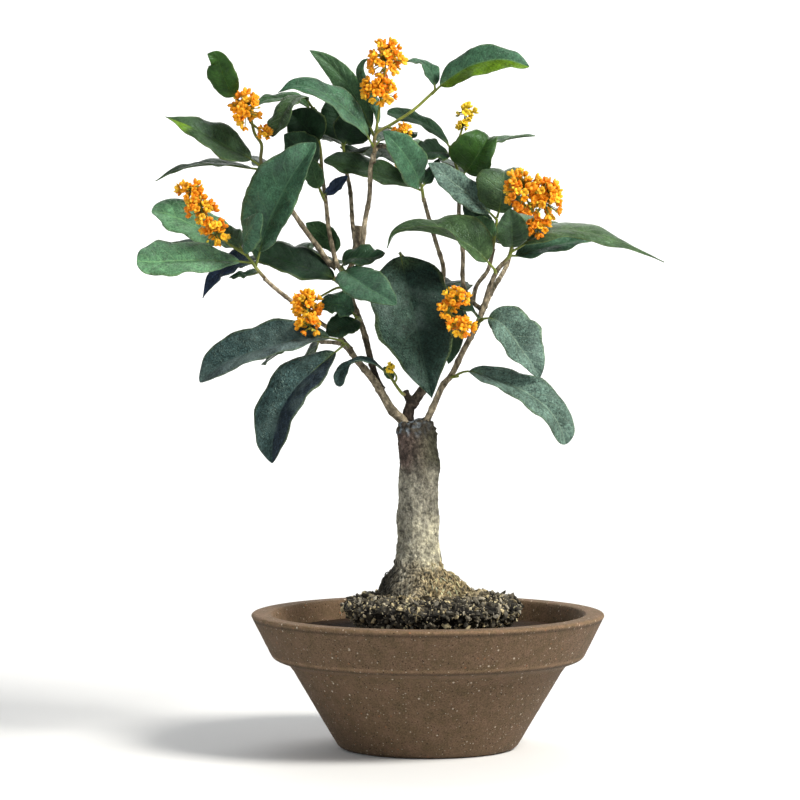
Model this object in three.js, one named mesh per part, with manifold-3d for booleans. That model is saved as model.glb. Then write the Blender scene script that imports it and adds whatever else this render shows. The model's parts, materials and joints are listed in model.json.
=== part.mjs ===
// Sweet osmanthus bonsai in a round stoneware bowl.
// Millimetres. +Z is up, +X is to the right and +Y points away from the viewer.
// The origin is the centre of the bowl's flat underside.

import * as THREE from 'three';
import { mergeVertices } from 'three/addons/utils/BufferGeometryUtils.js';
import Module from 'manifold-3d';

const wasm = await Module();
wasm.setup();

// Driving dimensions
const GAP = 0.3; // air between two pieces that touch
const RIM_RADIUS = 124;
const RIM_HEIGHT = 95;
const LIP_WIDTH = 14;
const BAND_FOOT_HEIGHT = 58.5; // underside of the thick band below the rim
const BASE_RADIUS = 64;
const FLOOR_THICKNESS = 9;
const BOWL_SIDES = 32;

const DRAIN_RADIUS = 8;
const DRAIN_SIDES = 12;
const DRAIN_OFFSET = 30;
const MESH_SIZE = 28;
const MESH_THICKNESS = 1.2;

const SOIL_LEVEL = 82; // the smooth soil round the root ball
const BALL_CENTRE = [3, -8]; // the root ball stands a little in front of the bowl's middle
const BALL_REACH = [63, 72]; // half its length along X and along Y
const SOIL_SECTORS = 20;

const BLADE_THICKNESS = 0.9;
const STALK_WIDTH = 1.9;
const STALK_SHARE = 0.11; // of a leaf's whole length
const STEM_RADII = [1.15, 0.95]; // a green stem at its foot and at its tip
const STEM_SIDES = 4;

const FLORET_RADIUS = 4.8;
const FLOWER_STALK_RADIUS = 0.95;
const FLOWER_STALK_SIDES = 3;
const CORE_SHARE = 0.8; // where the corners of a flower head's core are, of its reach
const FLORET_SHARE = 0.88; // where the florets sit

const materials = {
  stoneware: new THREE.MeshStandardMaterial({ color: '#7a614e', roughness: 0.8, metalness: 0 }),
  mesh: new THREE.MeshStandardMaterial({ color: '#20231f', roughness: 0.6, metalness: 0 }),
  soil: new THREE.MeshStandardMaterial({ color: '#2e2824', roughness: 1, metalness: 0 }),
  bark: new THREE.MeshStandardMaterial({ color: '#8d8273', roughness: 0.9, metalness: 0 }),
  leaf: new THREE.MeshStandardMaterial({ color: '#2f4d3a', roughness: 0.45, metalness: 0 }),
  blossom: new THREE.MeshStandardMaterial({ color: '#f0941a', roughness: 0.6, metalness: 0 }),
};

const vector = (p) => new THREE.Vector3(p[0], p[1], p[2]);

// A seeded draw between -1 and 1, so the plant is the same each time it is made.
function seededDraw(seed) {
  let state = seed;
  return () => {
    state = (state * 16807) % 2147483647;
    return (2 * state) / 2147483647 - 1;
  };
}

// Solids and meshes
function toSolid(geometry) {
  const bare = geometry.clone();
  bare.deleteAttribute('normal');
  bare.deleteAttribute('uv');
  const merged = mergeVertices(bare, 1e-4);
  return new wasm.Manifold(new wasm.Mesh({
    numProp: 3,
    vertProperties: new Float32Array(merged.attributes.position.array),
    triVerts: new Uint32Array(merged.index.array),
  }));
}

function fuse(solids) {
  return solids.reduce((whole, solid) => whole.add(solid));
}

function toMesh(name, solid, material) {
  const { vertProperties, triVerts } = solid.getMesh();
  const geometry = new THREE.BufferGeometry();
  geometry.setAttribute('position', new THREE.BufferAttribute(new Float32Array(vertProperties), 3));
  geometry.setIndex(new THREE.BufferAttribute(new Uint32Array(triVerts), 1));
  geometry.computeVertexNormals();
  const mesh = new THREE.Mesh(geometry, material);
  mesh.name = name;
  return mesh;
}

// A limb is a cylinder bent along a smooth curve, with its own radius at each point.
// Bulge returns how much fuller or leaner the bark is at an angle and a share of the length.
function limb(points, radii, sides, steps, bulge = () => 1) {
  const curve = new THREE.CatmullRomCurve3(points.map(vector), false, 'centripetal');
  const geometry = new THREE.CylinderGeometry(1, 1, 1, sides, steps);
  const rings = [];
  let side = new THREE.Vector3(0, 1, 0);
  for (let i = 0; i <= steps; i += 1) {
    const share = i / steps;
    const along = curve.getTangent(share);
    side = side.clone().addScaledVector(along, -side.dot(along)).normalize();
    const across = new THREE.Vector3().crossVectors(side, along);
    const place = share * (radii.length - 1);
    const before = Math.min(Math.floor(place), radii.length - 2);
    const radius = THREE.MathUtils.lerp(radii[before], radii[before + 1], place - before);
    rings.push({ centre: curve.getPoint(share), side, across, radius });
  }
  const position = geometry.attributes.position;
  for (let i = 0; i < position.count; i += 1) {
    const share = position.getY(i) + 0.5;
    const ring = rings[Math.round(share * steps)];
    const x = position.getX(i);
    const z = position.getZ(i);
    const full = ring.radius * bulge(Math.atan2(z, x), share);
    const spot = ring.centre.clone().addScaledVector(ring.side, x * full);
    spot.addScaledVector(ring.across, z * full);
    position.setXYZ(i, spot.x, spot.y, spot.z);
  }
  return toSolid(geometry);
}

// A leaf is one sheet of even thickness along its midrib, on a short stalk. The blade is
// elliptic with a drawn-out tip, folded along the midrib and waved towards its margins.
const BLADE_ROWS = [0, 0.11, 0.26, 0.5, 0.78, 1]; // shares of the leaf's length
const SHORT_BLADE_ROWS = [0, 0.11, 0.32, 0.65, 1];
const BLUNT_BLADE_ROWS = [0, 0.11, 0.3, 0.62, 0.9, 1];
const SHORT_BLADE = 50; // longest blade that has the fewer rows
const BLUNT_TAPER = 0.5; // a taper below this gives a blunt tip
const BLADE_COLUMNS = 2; // one half of the blade each
const BASE_POWER = 0.65; // how blunt the foot of a blade is
const RIPPLE = 1.5; // height of the waves at a margin
const WAVES = 5 * Math.PI; // how fast they follow each other
const WAVE_SHIFT = 1.3; // and how far those of the other margin are ahead
const CALM_WIDTH = 8; // narrower halves than this have lower waves
const TIP_WIDTH = 0.7;

// How wide the blade is at a share of the leaf's length, where its widest place is 1.
function bladeShape(share, taper) {
  const outline = (s) => s ** BASE_POWER * (1 - s) ** taper;
  const along = Math.max(0, (share - STALK_SHARE) / (1 - STALK_SHARE));
  return outline(along) / outline(BASE_POWER / (BASE_POWER + taper));
}

function bladeRows(length, taper) {
  if (length < SHORT_BLADE) return SHORT_BLADE_ROWS;
  return taper < BLUNT_TAPER ? BLUNT_BLADE_ROWS : BLADE_ROWS;
}

// Fold is the angle that each half is lifted by, and skew how much wider one half is than
// the other. A blade that turns over does so between the two shares of its length in bends.
const PLAIN_LEAF = { bends: [0, 0.4], fold: 0.2, taper: 0.8, skew: 0 };

function leaf(shape) {
  const { width, face, path, tipFace = face, bends, fold, taper, skew } = { ...PLAIN_LEAF, ...shape };
  const curve = new THREE.CatmullRomCurve3(path.map(vector), false, 'centripetal');
  const top = [];
  const bottom = [];
  const rows = bladeRows(curve.getLength(), taper);
  rows.forEach((share) => {
    const middle = curve.getPointAt(share);
    const along = curve.getTangentAt(share);
    const turned = THREE.MathUtils.clamp((share - bends[0]) / (bends[1] - bends[0]), 0, 1);
    const facing = vector(face).normalize().lerp(vector(tipFace).normalize(), turned);
    const across = new THREE.Vector3().crossVectors(along, facing).normalize();
    const normal = new THREE.Vector3().crossVectors(across, along);
    const stalk = share <= STALK_SHARE;
    const half = 0.5 * Math.max(width * bladeShape(share, taper), stalk ? STALK_WIDTH : TIP_WIDTH);
    const thick = stalk ? STALK_WIDTH : BLADE_THICKNESS;
    for (let j = 0; j <= BLADE_COLUMNS; j += 1) {
      const side = (2 * j) / BLADE_COLUMNS - 1;
      const reach = half * side * (stalk ? 1 : 1 + skew * side);
      const ripple = RIPPLE * side * side * Math.sin(WAVES * share + WAVE_SHIFT * side);
      const lift = Math.abs(reach) * Math.sin(fold) + ripple * Math.min(1, half / CALM_WIDTH);
      const spot = middle.clone().addScaledVector(across, reach * Math.cos(fold));
      spot.addScaledVector(normal, stalk ? 0 : lift);
      top.push(spot.clone().addScaledVector(normal, thick / 2));
      bottom.push(spot.addScaledVector(normal, -thick / 2));
    }
  });
  return sheet(top, bottom, rows.length - 1, BLADE_COLUMNS);
}

// Joins two like grids of points, an upper and a lower face, into one closed solid. The first
// row, at the foot of the stalk, uses its two end points only.
function sheet(top, bottom, rows, columns) {
  const lower = top.length;
  const at = (i, j) => i * (columns + 1) + j;
  const index = [];
  const quad = (a, b, c, d) => index.push(a, b, c, a, c, d);
  for (let j = 0; j < columns; j += 1) {
    index.push(at(0, 0), at(1, j + 1), at(1, j));
    index.push(at(0, 0) + lower, at(1, j) + lower, at(1, j + 1) + lower);
  }
  index.push(at(0, 0), at(0, columns), at(1, columns));
  index.push(at(0, 0) + lower, at(1, columns) + lower, at(0, columns) + lower);
  for (let i = 0; i < rows; i += 1) {
    for (let j = 0; i > 0 && j < columns; j += 1) {
      const [a, b, c, d] = [at(i, j), at(i + 1, j), at(i + 1, j + 1), at(i, j + 1)];
      index.push(a, d, c, a, c, b);
      index.push(a + lower, c + lower, d + lower, a + lower, b + lower, c + lower);
    }
    const [a, b] = [at(i, 0), at(i + 1, 0)];
    const [c, d] = [at(i + 1, columns), at(i, columns)];
    quad(a, b, b + lower, a + lower);
    quad(c, d, d + lower, c + lower);
  }
  quad(at(0, columns), at(0, 0), at(0, 0) + lower, at(0, columns) + lower);
  for (let j = 0; j < columns; j += 1) {
    const [b, c] = [at(rows, j), at(rows, j + 1)];
    quad(b, c, c + lower, b + lower);
  }
  const geometry = new THREE.BufferGeometry();
  const numbers = [...top, ...bottom].flatMap((p) => [p.x, p.y, p.z]);
  geometry.setAttribute('position', new THREE.Float32BufferAttribute(numbers, 3));
  geometry.setIndex(index);
  return toSolid(geometry);
}

// The bowl
function makeBowl() {
  const profile = [
    [0, 0], [BASE_RADIUS - 5, 0], [BASE_RADIUS - 1, 1.6], [BASE_RADIUS + 1.4, 5.5],
    [92, 50.5], [94.6, 54.3], [99, BAND_FOOT_HEIGHT], [105.5, 60.5], [110, 65.5],
    [RIM_RADIUS - 1, RIM_HEIGHT - 3.5], [RIM_RADIUS, RIM_HEIGHT - 1.5], [RIM_RADIUS - 1.5, RIM_HEIGHT],
    [RIM_RADIUS - LIP_WIDTH + 1, RIM_HEIGHT], [RIM_RADIUS - LIP_WIDTH - 0.5, RIM_HEIGHT - 1.5],
    [102, 72], [84, 54], [56, FLOOR_THICKNESS], [0, FLOOR_THICKNESS],
  ].map(([r, z]) => new THREE.Vector2(r, z));
  const lathe = new THREE.LatheGeometry(profile, BOWL_SIDES).rotateX(Math.PI / 2);
  let bowl = toSolid(lathe);
  [-DRAIN_OFFSET, DRAIN_OFFSET].forEach((x) => {
    const drill = new THREE.CylinderGeometry(DRAIN_RADIUS, DRAIN_RADIUS, 4 * FLOOR_THICKNESS, DRAIN_SIDES);
    bowl = bowl.subtract(toSolid(drill.rotateX(Math.PI / 2).translate(x, 0, 0)));
  });
  return bowl;
}

// A square of plastic netting over a drain hole keeps the soil in.
function makeDrainMesh(x) {
  const floor = FLOOR_THICKNESS + GAP + MESH_THICKNESS / 2;
  const square = new THREE.BoxGeometry(MESH_SIZE, MESH_SIZE, MESH_THICKNESS).translate(x, 0, floor);
  const hole = MESH_SIZE / 5;
  const holes = [];
  [-hole, hole].forEach((i) => {
    [-hole, hole].forEach((j) => {
      const cutter = new THREE.BoxGeometry(hole, hole, 3 * MESH_THICKNESS);
      holes.push(toSolid(cutter.translate(x + i, j, floor)));
    });
  });
  return toSolid(square).subtract(fuse(holes));
}

// The soil fills the bowl: a smooth ring near the wall and, in the middle, the root ball, which
// keeps the shape of its last pot and is widest near its top. Each ring of points has its
// reach along X and Y, its centre, its height and how lumpy it is.
const SOIL_WALL = 101.2; // radius of the soil's edge at its surface, just inside the bowl
const BALL_TOP = 108.5;
const BALL_OUTLINE = [[0.42, 0], [0.72, -2], [0.92, -4.5], [1, -10], [0.94, -19], [0.8, -26]];
const BALL_LUMPS = 1.6;

function soilRings() {
  const ball = BALL_OUTLINE.map(([share, drop]) => ({
    reach: BALL_REACH.map((r) => share * r),
    centre: BALL_CENTRE,
    height: BALL_TOP + drop,
    lumps: BALL_LUMPS,
  }));
  const ring = (radius, height, lumps) => ({ reach: [radius, radius], centre: [0, 0], height, lumps });
  return [
    ...ball, ring(84, SOIL_LEVEL, 0.3), ring(SOIL_WALL, SOIL_LEVEL, 0),
    ring(SOIL_WALL, SOIL_LEVEL - 10, 0), ring(83, 55, 0), ring(55, FLOOR_THICKNESS + GAP, 0),
  ];
}

function makeSoil(roots) {
  const draw = seededDraw(41);
  const rings = soilRings();
  const points = [new THREE.Vector3(...BALL_CENTRE, BALL_TOP)];
  rings.forEach(({ reach, centre, height, lumps }, step) => {
    for (let i = 0; i < SOIL_SECTORS; i += 1) {
      const angle = (2 * Math.PI * (i + (step % 2) / 2)) / SOIL_SECTORS;
      const x = centre[0] + (reach[0] + lumps * draw()) * Math.cos(angle);
      const y = centre[1] + (reach[1] + lumps * draw()) * Math.sin(angle);
      points.push(new THREE.Vector3(x, y, height + lumps * draw()));
    }
  });
  const lowest = points.length;
  points.push(new THREE.Vector3(0, 0, FLOOR_THICKNESS + GAP));
  const index = [];
  for (let i = 0; i < SOIL_SECTORS; i += 1) {
    const next = (i + 1) % SOIL_SECTORS;
    index.push(0, 1 + i, 1 + next);
    for (let step = 0; step < rings.length - 1; step += 1) {
      const [a, b] = [1 + step * SOIL_SECTORS + i, 1 + step * SOIL_SECTORS + next];
      const [c, d] = [a + SOIL_SECTORS, b + SOIL_SECTORS];
      if (step % 2) index.push(a, c, d, a, d, b);
      else index.push(a, c, b, b, c, d);
    }
    const last = 1 + (rings.length - 1) * SOIL_SECTORS;
    index.push(lowest, last + next, last + i);
  }
  const geometry = new THREE.BufferGeometry();
  const numbers = points.flatMap((p) => p.toArray());
  geometry.setAttribute('position', new THREE.Float32BufferAttribute(numbers, 3));
  geometry.setIndex(index);
  let soil = toSolid(geometry).subtract(roots);
  [-DRAIN_OFFSET, DRAIN_OFFSET].forEach((x) => {
    const side = MESH_SIZE + 2 * GAP;
    const room = new THREE.BoxGeometry(side, side, 4 * MESH_THICKNESS).translate(x, 0, FLOOR_THICKNESS);
    soil = soil.subtract(toSolid(room));
  });
  return soil;
}

// Trunk: centre line and radius from below the soil up to the old cut where the branches leave.
const TRUNK = [
  [-7, 0, 78, 16], [-7, 0, 96, 25], [-7, 0, 106, 27], [-7, 0, 114, 24], [-6.8, 0, 121, 19.3],
  [-7, 0, 128, 16], [-6.5, 0, 137, 14.9], [-6.3, 0, 148, 13.8], [-6.5, 0, 160, 13.8],
  [-6.8, 0, 174, 13.1], [-6.5, 0, 188, 13.1], [-6.1, 0, 199, 13.8], [-7.5, 0, 212, 12.8],
  [-9, 0, 223, 13], [-10, 0, 229, 11],
];

const TRUNK_SIDES = 12;
const TRUNK_RINGS = 14;

// Surface roots that run out of the flare and down into the root ball. The last is a knuckle.
const ROOTS = [
  [[-12, -2, 114], [-26, -8, 104], [-36, -12, 90], [-42, -16, 66]],
  [[-10, 8, 114], [-26, 24, 104], [-34, 36, 90], [-38, 42, 60]],
  [[-4, -8, 114], [-10, -26, 105], [-16, -38, 90], [-18, -46, 60]],
  [[2, -4, 115], [16, -18, 104], [26, -28, 90], [32, -34, 58]],
  [[2, 6, 115], [16, 22, 104], [26, 32, 90], [30, 38, 58]],
  [[2, -1, 116], [13, -3, 115], [23, -4, 108], [30, -1, 86]],
];
const ROOT_RADII = [9, 8, 5.5, 2.5];
const ROOT_SIDES = 6;

// Limbs and woody twigs: points, radius at the start and the end, and sides.
const RINGS_PER_POINT = 0.75;
const LIMBS = {
  left_limb: { from: 3.6, to: 2.0, sides: 6, path: [[-15, -2, 222], [-18, -3, 230], [-25, -5, 237],
    [-31.5, -7, 248], [-37, -9, 257], [-44, -12, 266], [-50, -14, 273], [-55, -15.5, 281]] },
  dark_limb: { from: 2.4, to: 1.8, sides: 5, path: [[-33, -7, 252], [-36, -4, 259], [-40, 0, 272],
    [-45, 3, 292], [-53, 6, 313], [-57, 8, 324], [-60, 9, 334], [-66, 10, 341]] },
  far_left_limb: { from: 2.0, to: 1.5, sides: 5, path: [[-64, 10, 337], [-69, 10, 340], [-77, 11, 351],
    [-86, 12, 363], [-95, 12, 376], [-106, 10, 392], [-111, 9, 399]] },
  upright_twig: { from: 1.6, to: 1.4, sides: 4, path: [[-64, 9, 338], [-68, 14, 355], [-70, 18, 366],
    [-72, 24, 384], [-75, 32, 404]] },
  top_limb: { from: 1.9, to: 1.5, sides: 5, path: [[-58, 8, 327], [-54, 7, 338], [-47, 5, 349],
    [-44, 3, 370], [-41, 0, 386], [-40, -2, 407], [-38, -3, 416]] },
  back_twig: { from: 1.6, to: 1.4, sides: 4, path: [[-52, 8, 343], [-51, 14, 352], [-53, 24, 367],
    [-55, 36, 392], [-58, 40, 406]] },
  sawn_stub: { from: 2.6, to: 2.4, sides: 5, path: [[-52, 8, 342], [-50, 9, 352], [-48.5, 10, 366]] },
  thin_left_twig: { from: 1.6, to: 1.4, sides: 4, path: [[-54, -14, 280], [-63, -8, 290],
    [-76, -4, 299], [-92, -6, 311], [-107, -10, 323], [-114, -12.5, 329.5]] },
  middle_limb: { from: 4.2, to: 1.6, sides: 6, path: [[-14, 3, 222], [-13, 3, 238], [-6, 5, 248],
    [-1, 8, 256], [2, 14, 272], [6, 20, 292], [9, 22, 313], [11, 20, 332]] },
  middle_twig: { from: 1.6, to: 1.4, sides: 4, path: [[10, 21, 326], [11, 19, 336], [5.5, 17, 355],
    [0, 14, 374], [-3, 11, 385]] },
  dead_stub: { from: 2.6, to: 2.3, sides: 5, path: [[-9, 3, 240], [-14, 0, 246], [-16, -2, 250]] },
  right_limb: { from: 2.4, to: 1.6, sides: 6, path: [[-6, -3, 222], [-1, -4, 230], [5, -5, 243],
    [10.5, -6, 255], [16, -7, 261.5], [24, -9, 278], [34, -11, 297], [39, -12, 311], [42, -13, 321],
    [48, -14, 335], [52, -15, 340]] },
  inner_right_twig: { from: 1.6, to: 1.4, sides: 4, path: [[38.5, -11, 307], [31, -2, 313],
    [25, 6, 324], [24.5, 13, 348], [22, 18, 368], [22, 22, 385]] },
  slim_right_twig: { from: 1.5, to: 1.4, sides: 4, path: [[31, -2, 312], [34, 3, 324], [42, 8, 335],
    [46, 12, 350]] },
  rear_centre_limb: { from: 2.2, to: 1.5, sides: 5, path: [[2, 14, 272], [4, 34, 284], [6, 54, 300],
    [2, 70, 314]] },
  rear_top_twig: { from: 1.5, to: 1.4, sides: 4, path: [[-38.5, -3, 411], [-37, 10, 419], [-34, 30, 422],
    [-31, 47, 422.5]] },
  rear_right_limb: { from: 1.8, to: 1.4, sides: 5, path: [[39, -12, 310], [46, 12, 322], [56, 36, 338],
    [60, 52, 350]] },
  rear_left_limb: { from: 1.8, to: 1.4, sides: 5, path: [[-56, 8, 321], [-68, 28, 330], [-84, 48, 337],
    [-92, 60, 342]] },
  low_left_limb: { from: 1.6, to: 1.4, sides: 4, path: [[-53, -13, 277], [-60, 2, 283], [-66, 14, 284],
    [-75, 27, 284]] },
};

// Five slanting ribs that are strongest in the flare, and a finer unevenness all over.
function barkBulge(angle, share) {
  const flare = THREE.MathUtils.smoothstep(share, 0.35, 0.02);
  const ribs = (0.035 + 0.1 * flare) * Math.sin(5 * angle + 7 * share);
  return 1 + ribs + 0.02 * Math.sin(11 * angle - 9 * share);
}

function makeWood(extra) {
  const grown = (radius) => radius + extra;
  const trunkPath = TRUNK.map(([x, y, z]) => [x, y, z]);
  const trunkRadii = TRUNK.map(([, , , radius]) => grown(radius));
  const pieces = [limb(trunkPath, trunkRadii, TRUNK_SIDES, TRUNK_RINGS, barkBulge)];
  ROOTS.forEach((path) => pieces.push(limb(path, ROOT_RADII.map(grown), ROOT_SIDES, path.length - 1)));
  Object.values(LIMBS).forEach(({ from, to, sides, path }) => {
    const steps = Math.ceil(RINGS_PER_POINT * (path.length - 1));
    pieces.push(limb(path, [grown(from), grown(to)], sides, steps));
  });
  return fuse(pieces);
}

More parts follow.
